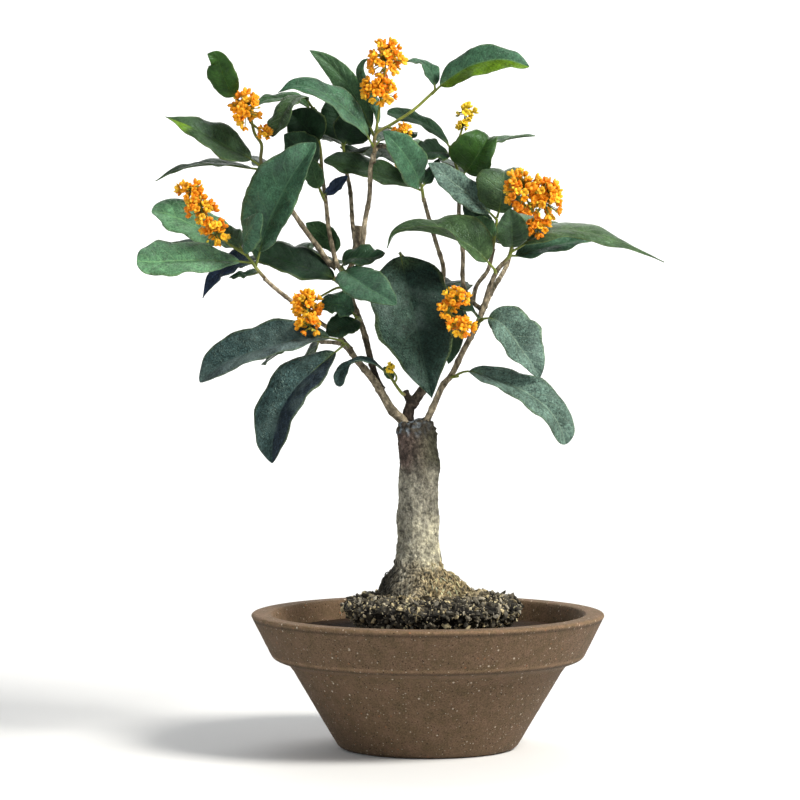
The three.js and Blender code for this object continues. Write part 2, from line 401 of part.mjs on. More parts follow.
// Leafy shoots: short green stems and the leaves that grow from them. A leaf's path runs from
// its foot in the stem, along the midrib, to the tip, and face is where its glossy side looks.
// Where the blade bends over, tipFace is where that side looks from there on.
const SHOOTS = {
  shoot_top: {
    stems: [
      [[-37.5, -3, 417], [-36.4, -4, 430], [-26.5, -6, 436], [-11, -6, 446], [5.6, -5, 461]],
    ],
    leaves: {
      arched_left: { width: 28, taper: 1.1, face: [0.35, -0.6, 0.75], path: [[-38, -4, 421],
        [-47, -12, 436], [-60, -18, 449], [-76, -22, 459], [-92, -24, 463], [-104, -24, 458]] },
      tall_left: { width: 18, face: [-0.3, -0.8, 0.4], path: [[-37, -3, 427], [-46, 10, 448],
        [-58, 17, 467], [-70, 18, 480], [-83, 15, 489]] },
      crescent: { width: 10, face: [0.6, -0.7, 0.2], path: [[-35.5, -4.5, 431], [-36, 2, 444],
        [-42, 8, 460], [-48, 9, 473], [-46, 8, 480], [-42, 7, 483]] },
      crown_right: { width: 26, face: [-0.2, -0.8, 0.6], path: [[2.5, -5, 457.5], [12, -8, 466],
        [30, -14, 477], [52, -18, 481], [70, -18, 476]] },
      crown_left: { width: 13, face: [0, -0.3, 1], path: [[5, -5, 460], [3, 0, 471], [-3, 4, 479],
        [-17, 6, 481]] },
      behind: { width: 28, face: [0, -0.25, 1], path: [[-37, -3, 422], [-31, 14, 428], [-21, 40, 431],
        [-10, 66, 429]] },
    },
  },
  shoot_upper_left: {
    stems: [
      [[-112, 9, 401], [-117, 8, 411], [-116.5, 6, 423], [-121, 5, 430], [-125, 3, 444], [-133, 2, 454]],
    ],
    leaves: {
      upright: { width: 21, face: [-0.3, -1, 0.1], path: [[-132, 2, 453], [-138, -3, 461],
        [-143, -9, 472], [-146, -13, 481], [-153, -17, 485]] },
      long_upper: { width: 31, taper: 1.2, face: [0.2, -0.7, 0.68], path: [[-117.2, 8, 407.9],
        [-126.9, 5, 414.2], [-140, 1, 421.1], [-156.6, -3, 430.1], [-171.1, -7, 437],
        [-182.8, -9, 441.8]] },
      long_lower: { width: 19, taper: 1.1, face: [0.05, -0.2, 1], path: [[-115.5, 9, 405.1],
        [-125.7, 10, 406.6], [-139.1, 12, 408.7], [-157.4, 12, 408.7], [-175.6, 10, 405.1],
        [-190.9, 8, 397.4]] },
      behind_one: { width: 30, face: [0.1, -0.2, 1], path: [[-113.5, 9.2, 403.3], [-112, 30, 409],
        [-113, 60, 411], [-117, 95, 405]] },
    },
  },
  shoot_back_left: {
    stems: [[[-74.7, 31, 402], [-76, 34, 420], [-79, 34, 436], [-80.5, 33, 450]]],
    leaves: {
      strap: { width: 19, taper: 0.4, face: [-0.5, -0.6, 0.6], path: [[-81.6, 33, 449.5],
        [-86.8, 28, 456.4], [-94.4, 22, 454.1], [-101.2, 14, 444.6], [-104.6, 8, 436],
        [-108.6, 4, 428.2]] },
      far_strap: { width: 15, face: [0, -0.45, 0.9], path: [[-80.9, 33, 445.9], [-89.9, 38, 454.6],
        [-102.6, 36, 456], [-114.5, 31, 454.4], [-120, 26, 450.7]] },
      shade_high: { width: 30, face: [-0.2, -0.9, 0.4], path: [[-76.5, 34, 422], [-82, 31, 431],
        [-90, 28, 439], [-98, 26, 446]] },
      shade_low: { width: 26, face: [-0.3, -0.85, 0.5], path: [[-75.5, 32, 408], [-83, 26, 415],
        [-93, 20, 423], [-101, 15, 430]] },
      behind: { width: 28, face: [0, -0.2, 1], path: [[-79, 34, 438], [-92, 51, 443],
        [-104, 82, 438]] },
    },
  },
  shoot_back_middle: {
    stems: [[[-57.9, 39.8, 405.2], [-59, 42, 415], [-60, 43, 424]]],
    leaves: {
      shade_right: { width: 28, face: [0.2, -0.9, 0.3], path: [[-60, 43, 421], [-56, 40, 430],
        [-51, 36, 440], [-48, 32, 449]] },
      shade_left: { width: 30, face: [-0.1, -0.9, 0.3], path: [[-60, 43, 423], [-62, 46, 434],
        [-65, 49, 446], [-70, 51, 457]] },
      behind_right: { width: 28, face: [0, -0.2, 1], path: [[-59, 42, 416], [-50, 62, 420],
        [-38, 92, 414]] },
      behind_left: { width: 28, face: [0, -0.2, 1], path: [[-60, 43, 422], [-64, 66, 429],
        [-70, 96, 427]] },
    },
  },
  shoot_fork: {
    stems: [[[-72, 23, 383], [-74, 20, 387], [-76, 19, 392]]],
    leaves: {
      pointed: { width: 15, face: [-0.4, -0.9, 0.1], path: [[-75.5, 19, 390], [-78, 19, 397],
        [-80, 20, 404], [-80, 21, 412]] },
      blue: { width: 9, face: [0.1, -0.9, 0.5], path: [[-74.6, 20, 387], [-67.6, 20, 391.2],
        [-62.6, 21, 396.2], [-56.3, 22, 401.1]] },
    },
  },
  shoot_left: {
    stems: [[[-114, -12.5, 330], [-119, -15, 336], [-124, -15, 343], [-130, -14, 350]]],
    leaves: {
      big_folded: { width: 42, face: [-0.25, -0.9, 0.35], fold: 0.4, skew: -0.15, path: [
        [-119.8, -15, 337.6], [-115.9, -18, 351.9], [-111.6, -22, 365.7], [-104.1, -27, 381.7],
        [-94.9, -33, 398.9], [-85.9, -36, 412], [-77.6, -35, 423]] },
      pale_folded: { width: 22, face: [-0.1, -0.9, 0.4], fold: -0.3, path: [[-128.2, -14.8, 349.1],
        [-126.7, -33, 357.4], [-120.8, -43, 366.4], [-114.5, -46, 374.7]] },
      small_dark: { width: 16, face: [0.3, -0.8, 0.5], path: [[-129, -14, 349], [-134, -12, 356],
        [-141, -9, 361], [-148, -7, 363]] },
      far_pointed: { width: 33, taper: 0.45, face: [0, -0.65, 0.75], path: [[-128.2, -13.5, 348.4],
        [-138.4, -4, 353.9], [-152.8, 4, 360.9], [-171.3, 8, 369.3], [-183.3, 10, 374.2],
        [-193.8, 9, 376.3]] },
      broad: { width: 34, taper: 0.3, face: [-0.05, -0.7, 0.7], path: [[-122.3, -15, 340.4],
        [-135, -18, 341.4], [-154.9, -22, 342.1], [-177.7, -25, 341.5], [-191.4, -27, 340.8],
        [-201.7, -28, 341.5]] },
      under: { width: 14, face: [0, -0.4, 0.9], path: [[-117, -14, 334], [-124, -8, 332],
        [-131, -4, 331], [-139, -1, 330]] },
      hanging_blue: { width: 19, taper: 1.1, face: [-0.5, -0.7, 0.5], path: [[-120.9, -14.5, 339.7],
        [-133.2, 4, 340.5], [-144.9, 14, 334.8], [-153.5, 17, 324.9], [-158.5, 18, 315.1]] },
      edge_on: { width: 16, face: [0, -0.15, 1], path: [[-126, -14, 346], [-133, 8, 350],
        [-146, 24, 354], [-170, 30, 354], [-184, 30, 354]] },
    },
  },
  shoot_inner_left: {
    stems: [[[-60, 8, 334], [-61, 2, 336], [-60, -4, 337.5]]],
    leaves: {
      cross: { width: 24, face: [0, -0.6, 0.8], path: [[-61, 1, 336], [-57, -3, 342], [-48, -7, 344],
        [-38, -9, 344], [-30, -11, 347]] },
      pale: { width: 30, face: [-0.1, -0.7, 0.7], path: [[-60, -4, 337], [-55, -20, 332],
        [-45, -35, 325], [-33, -47, 318], [-22, -56, 312]] },
    },
  },
  shoot_fork_leaf: {
    stems: [[[-66, 11, 341], [-66, 15, 344]]],
    leaves: {
      olive: { width: 16, face: [-0.2, -0.9, 0.3], path: [[-66, 14, 343], [-67, 18, 352],
        [-75, 22, 361], [-86, 24, 368]] },
    },
  },
  shoot_left_low_dark: {
    stems: [[[-57, 7, 323], [-61, 4, 325]]],
    leaves: {
      long_dark: { width: 34, face: [0, -0.6, 0.8], path: [[-59, 5.5, 324], [-70, 5, 331],
        [-90, 7, 338], [-110, 9, 345], [-128, 11, 354]] },
    },
  },
  shoot_left_cupped: {
    stems: [[[-47, 3, 300], [-49, -3, 302], [-51, -6, 303]]],
    leaves: {
      upper: { width: 24, face: [-0.2, -0.65, 0.75], path: [[-50.5, -5, 303], [-56, -7, 308],
        [-65, -8, 311], [-75, -9, 308]] },
      lower: { width: 21, face: [0.1, -0.75, 0.65], path: [[-49.5, -4, 302], [-54, -11, 299],
        [-62, -17, 295], [-71, -20, 290]] },
    },
  },
  shoot_low_left: {
    stems: [[[-55, -16, 281], [-57, -21, 284], [-60, -25, 285]]],
    leaves: {
      reaching: { width: 36, taper: 0.6, face: [-0.15, -0.75, 0.65], fold: 0.5, path: [
        [-59.1, -24, 286], [-67.3, -31, 288.3], [-79.7, -34, 289], [-96.9, -35, 286.3],
        [-117.6, -37, 280.2], [-138.2, -39, 272.6], [-157.6, -38, 258.1]] },
      drooping: { width: 37, taper: 0.7, face: [-0.4, -0.8, 0.4], fold: 0.35, path: [
        [-57.1, -21, 284.5], [-64.6, -28, 278.5], [-77.6, -34, 267.6], [-92.6, -41, 253.4],
        [-102.1, -46, 237.8], [-106.9, -48, 220], [-107.6, -47, 202.8]] },
    },
  },
  shoot_low_rear: {
    stems: [[[-75, 27, 284], [-79, 34, 285]]],
    leaves: {
      reaching: { width: 28, face: [-0.2, -0.5, 0.85], path: [[-78.5, 33, 285], [-90, 44, 284],
        [-105, 62, 276], [-119, 78, 266]] },
      drooping: { width: 28, face: [-0.3, -0.6, 0.7], path: [[-77, 31, 284.7], [-80, 46, 277],
        [-88, 64, 261], [-94, 78, 241]] },
    },
  },
  shoot_stub: {
    stems: [[[-16, -1, 248], [-18, -8, 249], [-23, -16, 256], [-26, -22, 261]]],
    leaves: {
      narrow: { width: 11, taper: 0.35, face: [0.2, -0.3, 1], path: [[-25.8, -21, 261.3],
        [-30.7, -25, 265.9], [-40.4, -27, 272.2], [-48, -28, 272.9], [-54.9, -28, 270.2],
        [-59.8, -28, 263.9], [-62.5, -27, 254.9]] },
      tiny: { width: 7, face: [0, -1, 0.2], path: [[-24, -18, 258], [-27, -15, 263], [-31, -13, 268]] },
    },
  },
  shoot_centre: {
    stems: [[[8, 21, 306], [4, 16, 318], [-6, 8, 332], [-16, 2, 343], [-20, -2, 347]]],
    leaves: {
      largest: { width: 60, taper: 1.1, face: [0, -0.2, 1], tipFace: [0.1, -0.95, 0.3], path: [
        [-18.2, 0, 344.8], [-19.6, -8, 347.6], [-17.5, -14, 337.2], [-12.7, -22, 314.4],
        [-7.8, -27, 293], [-3.7, -30, 274.4], [-0.2, -31, 258.5], [2.5, -31, 246.8]] },
      beside: { width: 20, face: [0.5, -0.8, 0.2], path: [[6, 18.5, 313], [13, 8, 317], [17, -4, 304],
        [17, -12, 286], [14, -16, 270]] },
      behind: { width: 26, face: [0, -0.3, 1], path: [[-6, 8, 332], [-16, 26, 333], [-26, 48, 326],
        [-34, 70, 314]] },
    },
  },
  shoot_middle: {
    stems: [[[-3, 11, 383], [-4, 9, 391], [-5, 8, 396]]],
    leaves: {
      front: { width: 27, face: [0.2, -0.9, 0.35], path: [[-4, 9, 391], [-6, 1, 396], [-10, -9, 405],
        [-17, -19, 416], [-25, -26, 425], [-31.5, -29, 431]] },
      long_flat: { width: 26, taper: 0.5, face: [0.1, -0.6, 0.8], path: [[-4.1, 9, 390.7],
        [-10.5, 14, 393.2], [-22.4, 18, 398.2], [-37.9, 20, 403.9], [-57, 22, 408.9],
        [-73.3, 22, 411.7]] },
      narrow: { width: 14, face: [-0.7, -0.7, 0], path: [[-4.5, 9, 393], [1, 13, 399], [5, 17, 406],
        [8, 19, 413]] },
      behind: { width: 28, face: [0, -0.25, 1], path: [[-4.6, 8.7, 395], [-8, 30, 400], [-6, 62, 403],
        [-2, 88, 397]] },
    },
  },
  shoot_rear_top: {
    stems: [[[-31, 47, 422.5], [-27, 60, 424]]],
    leaves: {
      right: { width: 28, face: [0, -0.3, 1], path: [[-27.5, 57, 423.5], [-10, 65, 422],
        [14, 74, 416]] },
      back: { width: 28, face: [0, -0.2, 1], path: [[-27, 59.5, 424], [-28, 84, 422],
        [-24, 114, 412]] },
    },
  },
  shoot_upper_right: {
    stems: [[[22, 21.5, 383], [23, 22, 396], [20, 22, 408], [17, 22, 418]]],
    leaves: {
      long_stalked: { width: 13, taper: 0.3, face: [0.2, -0.7, 0.7], path: [[17.5, 22, 417.7],
        [12.9, 25, 425.2], [4.5, 30, 433.8], [-6.1, 34, 440.3], [-17.5, 36, 443.9], [-28.8, 36, 446]] },
      dark: { width: 22, face: [0, -0.75, 0.65], path: [[17, 22, 416], [8, 15, 418], [-1, 9, 418],
        [-10, 6, 417]] },
      bent_back: { width: 35, taper: 1.3, fold: 0.42, skew: -0.2, face: [0.1, -1, 0.2],
        tipFace: [0.35, -0.1, 0.93], bends: [0.45, 0.73], path: [[22.8, 22, 400.4], [27.7, 20, 405.3],
        [33.9, 13, 414.3], [38.5, 9, 421.5], [41.5, 11, 426.8], [43, 16, 428], [44.5, 22.5, 426]] },
      flat_tip: { width: 18, face: [0, -0.15, 1], path: [[19.9, 22, 411], [32.8, 32, 419.7],
        [51.4, 37, 426.2], [66.3, 37, 429], [76.2, 36, 429.7]] },
      behind: { width: 28, face: [0, -0.2, 1], path: [[20, 22.5, 405], [20, 46, 410], [22, 74, 410],
        [24, 100, 403]] },
    },
  },
  shoot_right_slim: {
    stems: [[[45.3, 11.5, 348], [47, 12, 360], [48.5, 11, 371]]],
    leaves: {
      sage: { width: 21, fold: 0.1, face: [-0.2, -0.8, 0.55], path: [[47.9, 10.5, 370.7],
        [41.4, 6, 377], [30.8, 0, 386.1], [18.9, -3, 395.1], [8.4, -4, 404.2], [-0, -3, 409.8]] },
      curled: { width: 32, taper: 0.7, fold: 0.15, skew: -0.15, face: [-0.05, -1, 0.15],
        tipFace: [0, -0.1, 1], bends: [0.45, 0.8], path: [[48.6, 11, 372.1], [50.1, 3, 378.4],
        [51, -4, 386], [52, -6, 395.1], [52.8, -3, 402.1], [53.3, 5, 404.4], [53.6, 13, 402.4]] },
      inner_one: { width: 16, face: [-0.1, -0.95, 0.2], path: [[46.2, 11.8, 353], [40, 15, 365],
        [32, 16, 375], [25, 16, 385]] },
      inner_two: { width: 15, face: [0, -0.95, 0.2], path: [[47, 12, 356], [44, 10, 361], [38, 10, 366],
        [30, 10, 371]] },
    },
  },
  shoot_right_axil: {
    stems: [[[47, -15, 333], [46, -19, 335]]],
    leaves: {
      sweeping: { width: 35, taper: 1.3, fold: 0.5, skew: 0.2, face: [-0.2, -0.78, 0.6],
        tipFace: [-0.1, -0.15, 1], bends: [0.25, 0.55], path: [[47.1, -18, 334.5], [41.5, -22, 340.8],
        [32.4, -26, 349.8], [18.5, -29, 356.7], [8.1, -31, 360.2], [-3, -31, 362.3], [-16.1, -30, 363],
        [-24.4, -28, 359.5], [-28.6, -26, 350.5]] },
    },
  },
  shoot_right_end: {
    stems: [[[52, -15, 340], [57, -16, 346], [58, -18, 352]]],
    leaves: {
      widest: { width: 30, taper: 2.2, fold: -0.2, skew: -0.3, face: [-0.1, -0.5, 0.87], path: [
        [56.2, -16.5, 347], [65.8, -20, 352.6], [78.9, -24, 360.9], [96.8, -27, 363.3],
        [117.5, -28, 359.5], [136.9, -28, 352.2], [151.5, -27, 346.3], [163.4, -25, 340.8]] },
      young: { width: 23, face: [0, -1, 0.2], path: [[57.8, -17.5, 349], [58, -25, 355.5],
        [57.5, -31, 366], [56, -35, 378]] },
      under: { width: 20, face: [0, -0.6, 0.8], path: [[55.6, -15, 345.2], [64.2, -7, 345.5],
        [76.9, -3, 349.7], [91, 0, 353.2], [106.4, 1, 356], [120.5, 1, 358.1]] },
      behind: { width: 28, face: [0, -0.4, 0.9], path: [[57, -16, 348], [61, 6, 362], [76, 34, 369],
        [94, 62, 366]] },
    },
  },
  shoot_right_middle: {
    stems: [[[34, -12, 298], [36.5, -16, 300], [38, -18, 301]]],
    leaves: {
      notched: { width: 32, skew: -0.2, taper: 0.9, face: [0.1, -0.85, 0.5], fold: 0.3, path: [
        [36, -17, 301.1], [42.9, -22, 301.9], [50.4, -27, 298.5], [57.9, -31, 289.7], [64.7, -33, 280],
        [71.6, -33, 270.4], [77.2, -31, 260.6]] },
      small: { width: 13, face: [0, -0.8, 0.6], path: [[35.7, -16, 300.7], [32.4, -26, 305.5],
        [25.9, -38, 309.9], [18.9, -46, 308.6]] },
    },
  },
  shoot_right_low: {
    stems: [[[15, -8, 260.5], [18, -12, 261], [21, -14, 261.5]]],
    leaves: {
      lowest: { width: 29, taper: 0.5, face: [0.2, -0.7, 0.7], fold: 0.3, path: [[19.4, -13.5, 262],
        [26.3, -18, 265], [41.4, -24, 261.7], [57.2, -29, 255.7], [71.6, -33, 248.2], [83.9, -36, 238],
        [90.8, -37, 227], [95, -36, 215.2]] },
    },
  },
  shoot_rear_centre: {
    stems: [[[2.5, 68, 312.5], [0, 78, 320]]],
    leaves: {
      up_left: { width: 28, face: [0, -0.3, 1], path: [[0, 77, 319.5], [-16, 88, 326],
        [-30, 106, 322]] },
      up_right: { width: 28, face: [0, -0.3, 1], path: [[1, 76, 319], [16, 88, 325], [28, 108, 319]] },
      down_left: { width: 28, face: [-0.2, 0.5, 0.9], path: [[1, 72, 316], [-10, 86, 308],
        [-16, 104, 292]] },
      down_right: { width: 28, face: [0.2, 0.5, 0.9], path: [[1, 73.5, 317], [14, 82, 306],
        [20, 96, 290]] },
    },
  },
  shoot_rear_right: {
    stems: [[[59.7, 51.2, 349.5], [62, 60, 354]]],
    leaves: {
      right: { width: 28, face: [0, -0.3, 1], path: [[62, 58, 352.5], [80, 68, 352], [102, 80, 350]] },
      back: { width: 28, face: [0, -0.2, 1], path: [[62, 60, 354], [66, 84, 363], [64, 112, 362]] },
      left: { width: 28, face: [0, -0.3, 1], path: [[61, 57, 352], [42, 68, 356], [24, 82, 356]] },
    },
  },
  shoot_rear_left: {
    stems: [[[-91, 59, 341], [-97, 68, 344]]],
    leaves: {
      left: { width: 28, face: [0, -0.3, 1], path: [[-96.3, 66, 343.3], [-118, 73, 341],
        [-138, 80, 336]] },
      back: { width: 28, face: [0, -0.2, 1], path: [[-97.5, 68, 344.5], [-96, 94, 351],
        [-90, 120, 345]] },
      right: { width: 28, face: [0, -0.3, 1], path: [[-94, 63, 342.5], [-78, 76, 343],
        [-62, 90, 339]] },
    },
  },
};

// Flower clusters: stalks and round heads of 4, 6 or 8 florets.
const CLUSTERS = {
  flowers_top: {
    stalks: [[[-36.4, -6, 431], [-35, -7, 441], [-33, -9, 454], [-30, -10, 476]]],
    heads: [
      { centre: [-34, -10, 460], reach: [11.5, 9, 9.5], florets: 8 },
      { centre: [-29.5, -10, 482], reach: [12.5, 10, 12], florets: 8 },
    ],
  },
  flowers_upper_left: {
    stalks: [[[-124, 2, 438], [-126, -4, 443]], [[-124, 2, 438], [-115, -3, 431]]],
    heads: [
      { centre: [-127, -7, 447], reach: [9, 7, 13], florets: 8 },
      { centre: [-114, -3, 431], reach: [4.5, 4, 4], florets: 4 },
    ],
  },
  flowers_top_small: {
    stalks: [[[-28, -7, 434.5], [-23, -10, 433], [-17.5, -13, 432]]],
    heads: [{ centre: [-17.5, -13, 432], reach: [6, 4.5, 4], florets: 4 }],
  },
  flowers_upper_right: {
    stalks: [[[18.5, 22.5, 414], [21, 30, 424], [25, 34, 437], [27, 34, 446]]],
    heads: [
      { centre: [27, 34, 446], reach: [6, 5, 5.5], florets: 6 },
      { centre: [24.5, 33, 437], reach: [3.5, 3.5, 3.5], florets: 4 },
    ],
  },
  flowers_right: {
    stalks: [
      [[58.3, -18, 352.3], [62, -22, 357], [68, -26, 364], [74, -28, 372], [79, -30, 384]],
      [[74, -28, 372], [66, -30, 388]],
    ],
    heads: [
      { centre: [65, -30, 391], reach: [12, 10, 13], florets: 8 },
      { centre: [81, -30, 384], reach: [10.5, 9, 14], florets: 8 },
      { centre: [75.5, -27, 365], reach: [8, 6, 5], florets: 6 },
    ],
  },
  flowers_left: {
    stalks: [[[-125.5, -15, 345], [-139, -23, 354], [-147, -26, 361], [-157, -26, 377], [-164, -26, 390]]],
    heads: [
      { centre: [-164.5, -26, 390], reach: [8, 7, 7], florets: 6 },
      { centre: [-157, -26, 377], reach: [9, 7, 9], florets: 8 },
      { centre: [-147.5, -26, 362], reach: [8, 7, 8], florets: 6 },
    ],
  },
  flowers_left_inner: {
    stalks: [[[-57, 5, 321], [-62, -4, 323], [-71, -15, 319], [-83, -22, 311], [-82, -39, 298]]],
    heads: [
      { centre: [-84, -22, 311], reach: [10, 8, 9], florets: 8 },
      { centre: [-82, -40, 298], reach: [8, 6, 6.5], florets: 6 },
    ],
  },
  flowers_right_inner: {
    stalks: [
      [[33, -13, 295], [31, -28, 297], [23, -44, 297]],
      [[31, -28, 297], [25, -38, 300], [14, -44, 307], [19, -46, 317]],
    ],
    heads: [
      { centre: [19, -46, 317], reach: [9, 6, 5], florets: 6 },
      { centre: [13.5, -45, 309], reach: [5, 5, 6], florets: 4 },
      { centre: [23, -45, 297], reach: [8, 6, 6], florets: 6 },
    ],
  },
  flower_bud: {
    stalks: [[[-23.5, -17.5, 257], [-22, -23, 261], [-26.5, -28.5, 268]]],
    heads: [{ centre: [-26.5, -28.5, 268], reach: [2.6, 2.6, 3], florets: 4 }],
  },
  flowers_rear_top: {
    stalks: [[[-29.2, 53, 423.1], [-26, 50, 417], [-14, 57, 411]]],
    heads: [{ centre: [-14, 57, 411.5], reach: [7, 7, 5.5], florets: 6 }],
  },
  flowers_rear_right: {
    stalks: [[[61, 54, 351], [66, 56, 362], [70, 58, 372]]],
    heads: [{ centre: [70, 58, 372], reach: [9, 8, 8], florets: 8 }],
  },
  flowers_rear_centre: {
    stalks: [[[2.1, 69.5, 313.6], [6, 68, 304], [8, 67, 298]]],
    heads: [{ centre: [8, 67, 298], reach: [8, 8, 7], florets: 6 }],
  },
};

function makeStems({ stems }, extra) {
  return fuse(stems.map((path) => {
    const radii = [STEM_RADII[0] + extra, STEM_RADII[1] + extra];
    return limb(path, radii, STEM_SIDES, path.length - 1);
  }));
}

function makeShoot(shoot) {
  const leaves = Object.values(shoot.leaves).map(leaf);
  return fuse([makeStems(shoot, 0), ...leaves]);
}

// A floret is a disc of four lobes on a slim foot that ends inside the head's core.
const LOBES = 4;
const NOTCH_SHARE = 0.55; // radius between two lobes, of a lobe's
const LOBE_RISE = 0.4;
const FLORET_RISE = 1.1;

function makeFloret(size, foot) {
  const corners = 2 * LOBES;
  const points = [[0, 0, FLORET_RISE], [0, 0, -foot]];
  for (let i = 0; i < corners; i += 1) {
    const notch = i % 2 === 1;
    const radius = notch ? NOTCH_SHARE * size : size;
    const angle = (i * Math.PI) / LOBES;
    points.push([radius * Math.cos(angle), radius * Math.sin(angle), notch ? 0 : LOBE_RISE]);
  }
  const corner = (i) => 2 + ((i + corners) % corners);
  const index = [];
  for (let i = 0; i < corners; i += 1) index.push(0, corner(i), corner(i + 1));
  for (let i = 0; i < corners; i += 2) {
    index.push(corner(i - 1), corner(i + 1), corner(i));
    index.push(1, corner(i + 1), corner(i - 1));
  }
  const floret = new THREE.BufferGeometry();
  floret.setAttribute('position', new THREE.Float32BufferAttribute(points.flat(), 3));
  floret.setIndex(index);
  return floret;
}

// The core of a head has a flat face under each floret.
const CORES = {
  4: new THREE.TetrahedronGeometry(),
  6: new THREE.BoxGeometry(1.15, 1.15, 1.15),
  8: new THREE.OctahedronGeometry(),
};

const SAME_WAY = 0.99; // two unit vectors point the same way above this product

function faceDirections(core) {
  const { normal } = core.attributes;
  const found = [];
  for (let i = 0; i < normal.count; i += 1) {
    const direction = new THREE.Vector3().fromBufferAttribute(normal, i);
    if (found.every((other) => other.dot(direction) < SAME_WAY)) found.push(direction);
  }
  return found;
}

const CROWDING = 1.7; // larger for florets that nearly touch
const FOOT_SHARE = 0.8; // of the way back to the head's centre
const UP = new THREE.Vector3(0, 0, 1);

function makeHead({ centre, reach, florets }, draw) {
  const turn = new THREE.Quaternion(draw(), draw(), draw(), draw()).normalize();
  const core = CORES[florets].clone().applyQuaternion(turn);
  core.scale(...reach.map((share) => share * CORE_SHARE)).translate(...centre);
  const pieces = [toSolid(core)];
  faceDirections(CORES[florets]).forEach((direction) => {
    const out = direction.applyQuaternion(turn).multiply(vector(reach));
    const spot = out.clone().multiplyScalar(FLORET_SHARE);
    const size = Math.min(FLORET_RADIUS, (CROWDING * spot.length()) / Math.sqrt(florets));
    const floret = makeFloret(size, FOOT_SHARE * spot.length()).rotateZ(2 * draw());
    floret.applyQuaternion(new THREE.Quaternion().setFromUnitVectors(UP, out.normalize()));
    const place = spot.add(vector(centre));
    pieces.push(toSolid(floret.translate(place.x, place.y, place.z)));
  });
  return fuse(pieces);
}

const FIRST_SEED = 100;

function makeCluster({ stalks, heads }, seed) {
  const draw = seededDraw(seed);
  const radii = [FLOWER_STALK_RADIUS, FLOWER_STALK_RADIUS];
  const stems = stalks.map((path) => limb(path, radii, FLOWER_STALK_SIDES, path.length - 1));
  return fuse([...stems, ...heads.map((head) => makeHead(head, draw))]);
}

const bonsai = new THREE.Group();
const wood = makeWood(0);
const woodRoom = makeWood(GAP);

bonsai.add(toMesh('bowl', makeBowl(), materials.stoneware));
bonsai.add(toMesh('drain_mesh_left', makeDrainMesh(-DRAIN_OFFSET), materials.mesh));
bonsai.add(toMesh('drain_mesh_right', makeDrainMesh(DRAIN_OFFSET), materials.mesh));
bonsai.add(toMesh('soil', makeSoil(woodRoom), materials.soil));
bonsai.add(toMesh('trunk_and_branches', wood, materials.bark));
Object.entries(SHOOTS).forEach(([name, shoot]) => {
  bonsai.add(toMesh(name, makeShoot(shoot).subtract(woodRoom), materials.leaf));
});
const twigRoom = fuse([woodRoom, ...Object.values(SHOOTS).map((shoot) => makeStems(shoot, GAP))]);
Object.entries(CLUSTERS).forEach(([name, cluster], i) => {
  bonsai.add(toMesh(name, makeCluster(cluster, FIRST_SEED + i).subtract(twigRoom), materials.blossom));
});

export default bonsai;
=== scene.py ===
# %% [markdown]
# # A sweet osmanthus bonsai in a stoneware bowl
#
# This notebook gives the bonsai its looks. The solid model is loaded first and stays where it is.
# Every visible piece is then made again with finer geometry in the same place: the bowl, the
# soil, the barked trunk, each leafy shoot and each flower cluster. All sizes in the tables are in
# millimetres, with +Z up, +X to the right and +Y away from the viewer.

import json
import math

import bpy
import numpy as np
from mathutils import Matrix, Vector, noise

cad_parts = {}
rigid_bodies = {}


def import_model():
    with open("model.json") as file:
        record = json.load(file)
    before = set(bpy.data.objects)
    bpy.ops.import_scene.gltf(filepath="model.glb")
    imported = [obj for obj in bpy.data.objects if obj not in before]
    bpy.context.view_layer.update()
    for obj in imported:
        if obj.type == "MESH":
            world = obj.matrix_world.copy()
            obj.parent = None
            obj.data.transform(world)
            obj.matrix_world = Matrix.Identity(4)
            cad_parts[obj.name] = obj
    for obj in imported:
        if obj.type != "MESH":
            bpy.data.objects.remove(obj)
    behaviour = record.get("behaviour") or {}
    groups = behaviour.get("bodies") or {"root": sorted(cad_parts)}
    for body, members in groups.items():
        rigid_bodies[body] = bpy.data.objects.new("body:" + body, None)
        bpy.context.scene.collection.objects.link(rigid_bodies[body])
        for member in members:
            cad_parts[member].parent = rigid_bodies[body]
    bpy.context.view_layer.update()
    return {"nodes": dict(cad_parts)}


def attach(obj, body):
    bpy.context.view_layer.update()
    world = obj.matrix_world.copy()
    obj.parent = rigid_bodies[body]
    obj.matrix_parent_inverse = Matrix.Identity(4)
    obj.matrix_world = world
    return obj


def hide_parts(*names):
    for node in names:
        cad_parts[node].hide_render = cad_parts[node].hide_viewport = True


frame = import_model()
print("nodes in the solid model:", len(frame["nodes"]))

# %% [markdown]
# ## Sizes
#
# The main sizes are those of the solid model. A bonsai bowl like this is thrown or pressed from
# coarse clay, and the tree was cut back to a short trunk that then grew thin new branches.

# %% Sizes
MM = 0.001
RIM_RADIUS = 124
RIM_HEIGHT = 95
LIP_WIDTH = 14
BAND_FOOT_HEIGHT = 58.5
BASE_RADIUS = 64
FLOOR_THICKNESS = 9
DRAIN_RADIUS = 8
DRAIN_OFFSET = 30
NET_SIZE = 28
SOIL_WALL = 101.2
SOIL_LEVEL = 82
BALL_CENTRE = (3, -8)
BALL_REACH = (63, 72)
BALL_TOP = 108.5
BALL_OUTLINE = [
    # share of the reach, drop below the top
    (0.42, 0), (0.72, -2), (0.92, -4), (0.99, -8), (0.93, -14), (0.84, -20), (0.74, -26),
]
print("bowl:", 2 * RIM_RADIUS, "mm across and", RIM_HEIGHT, "mm high")
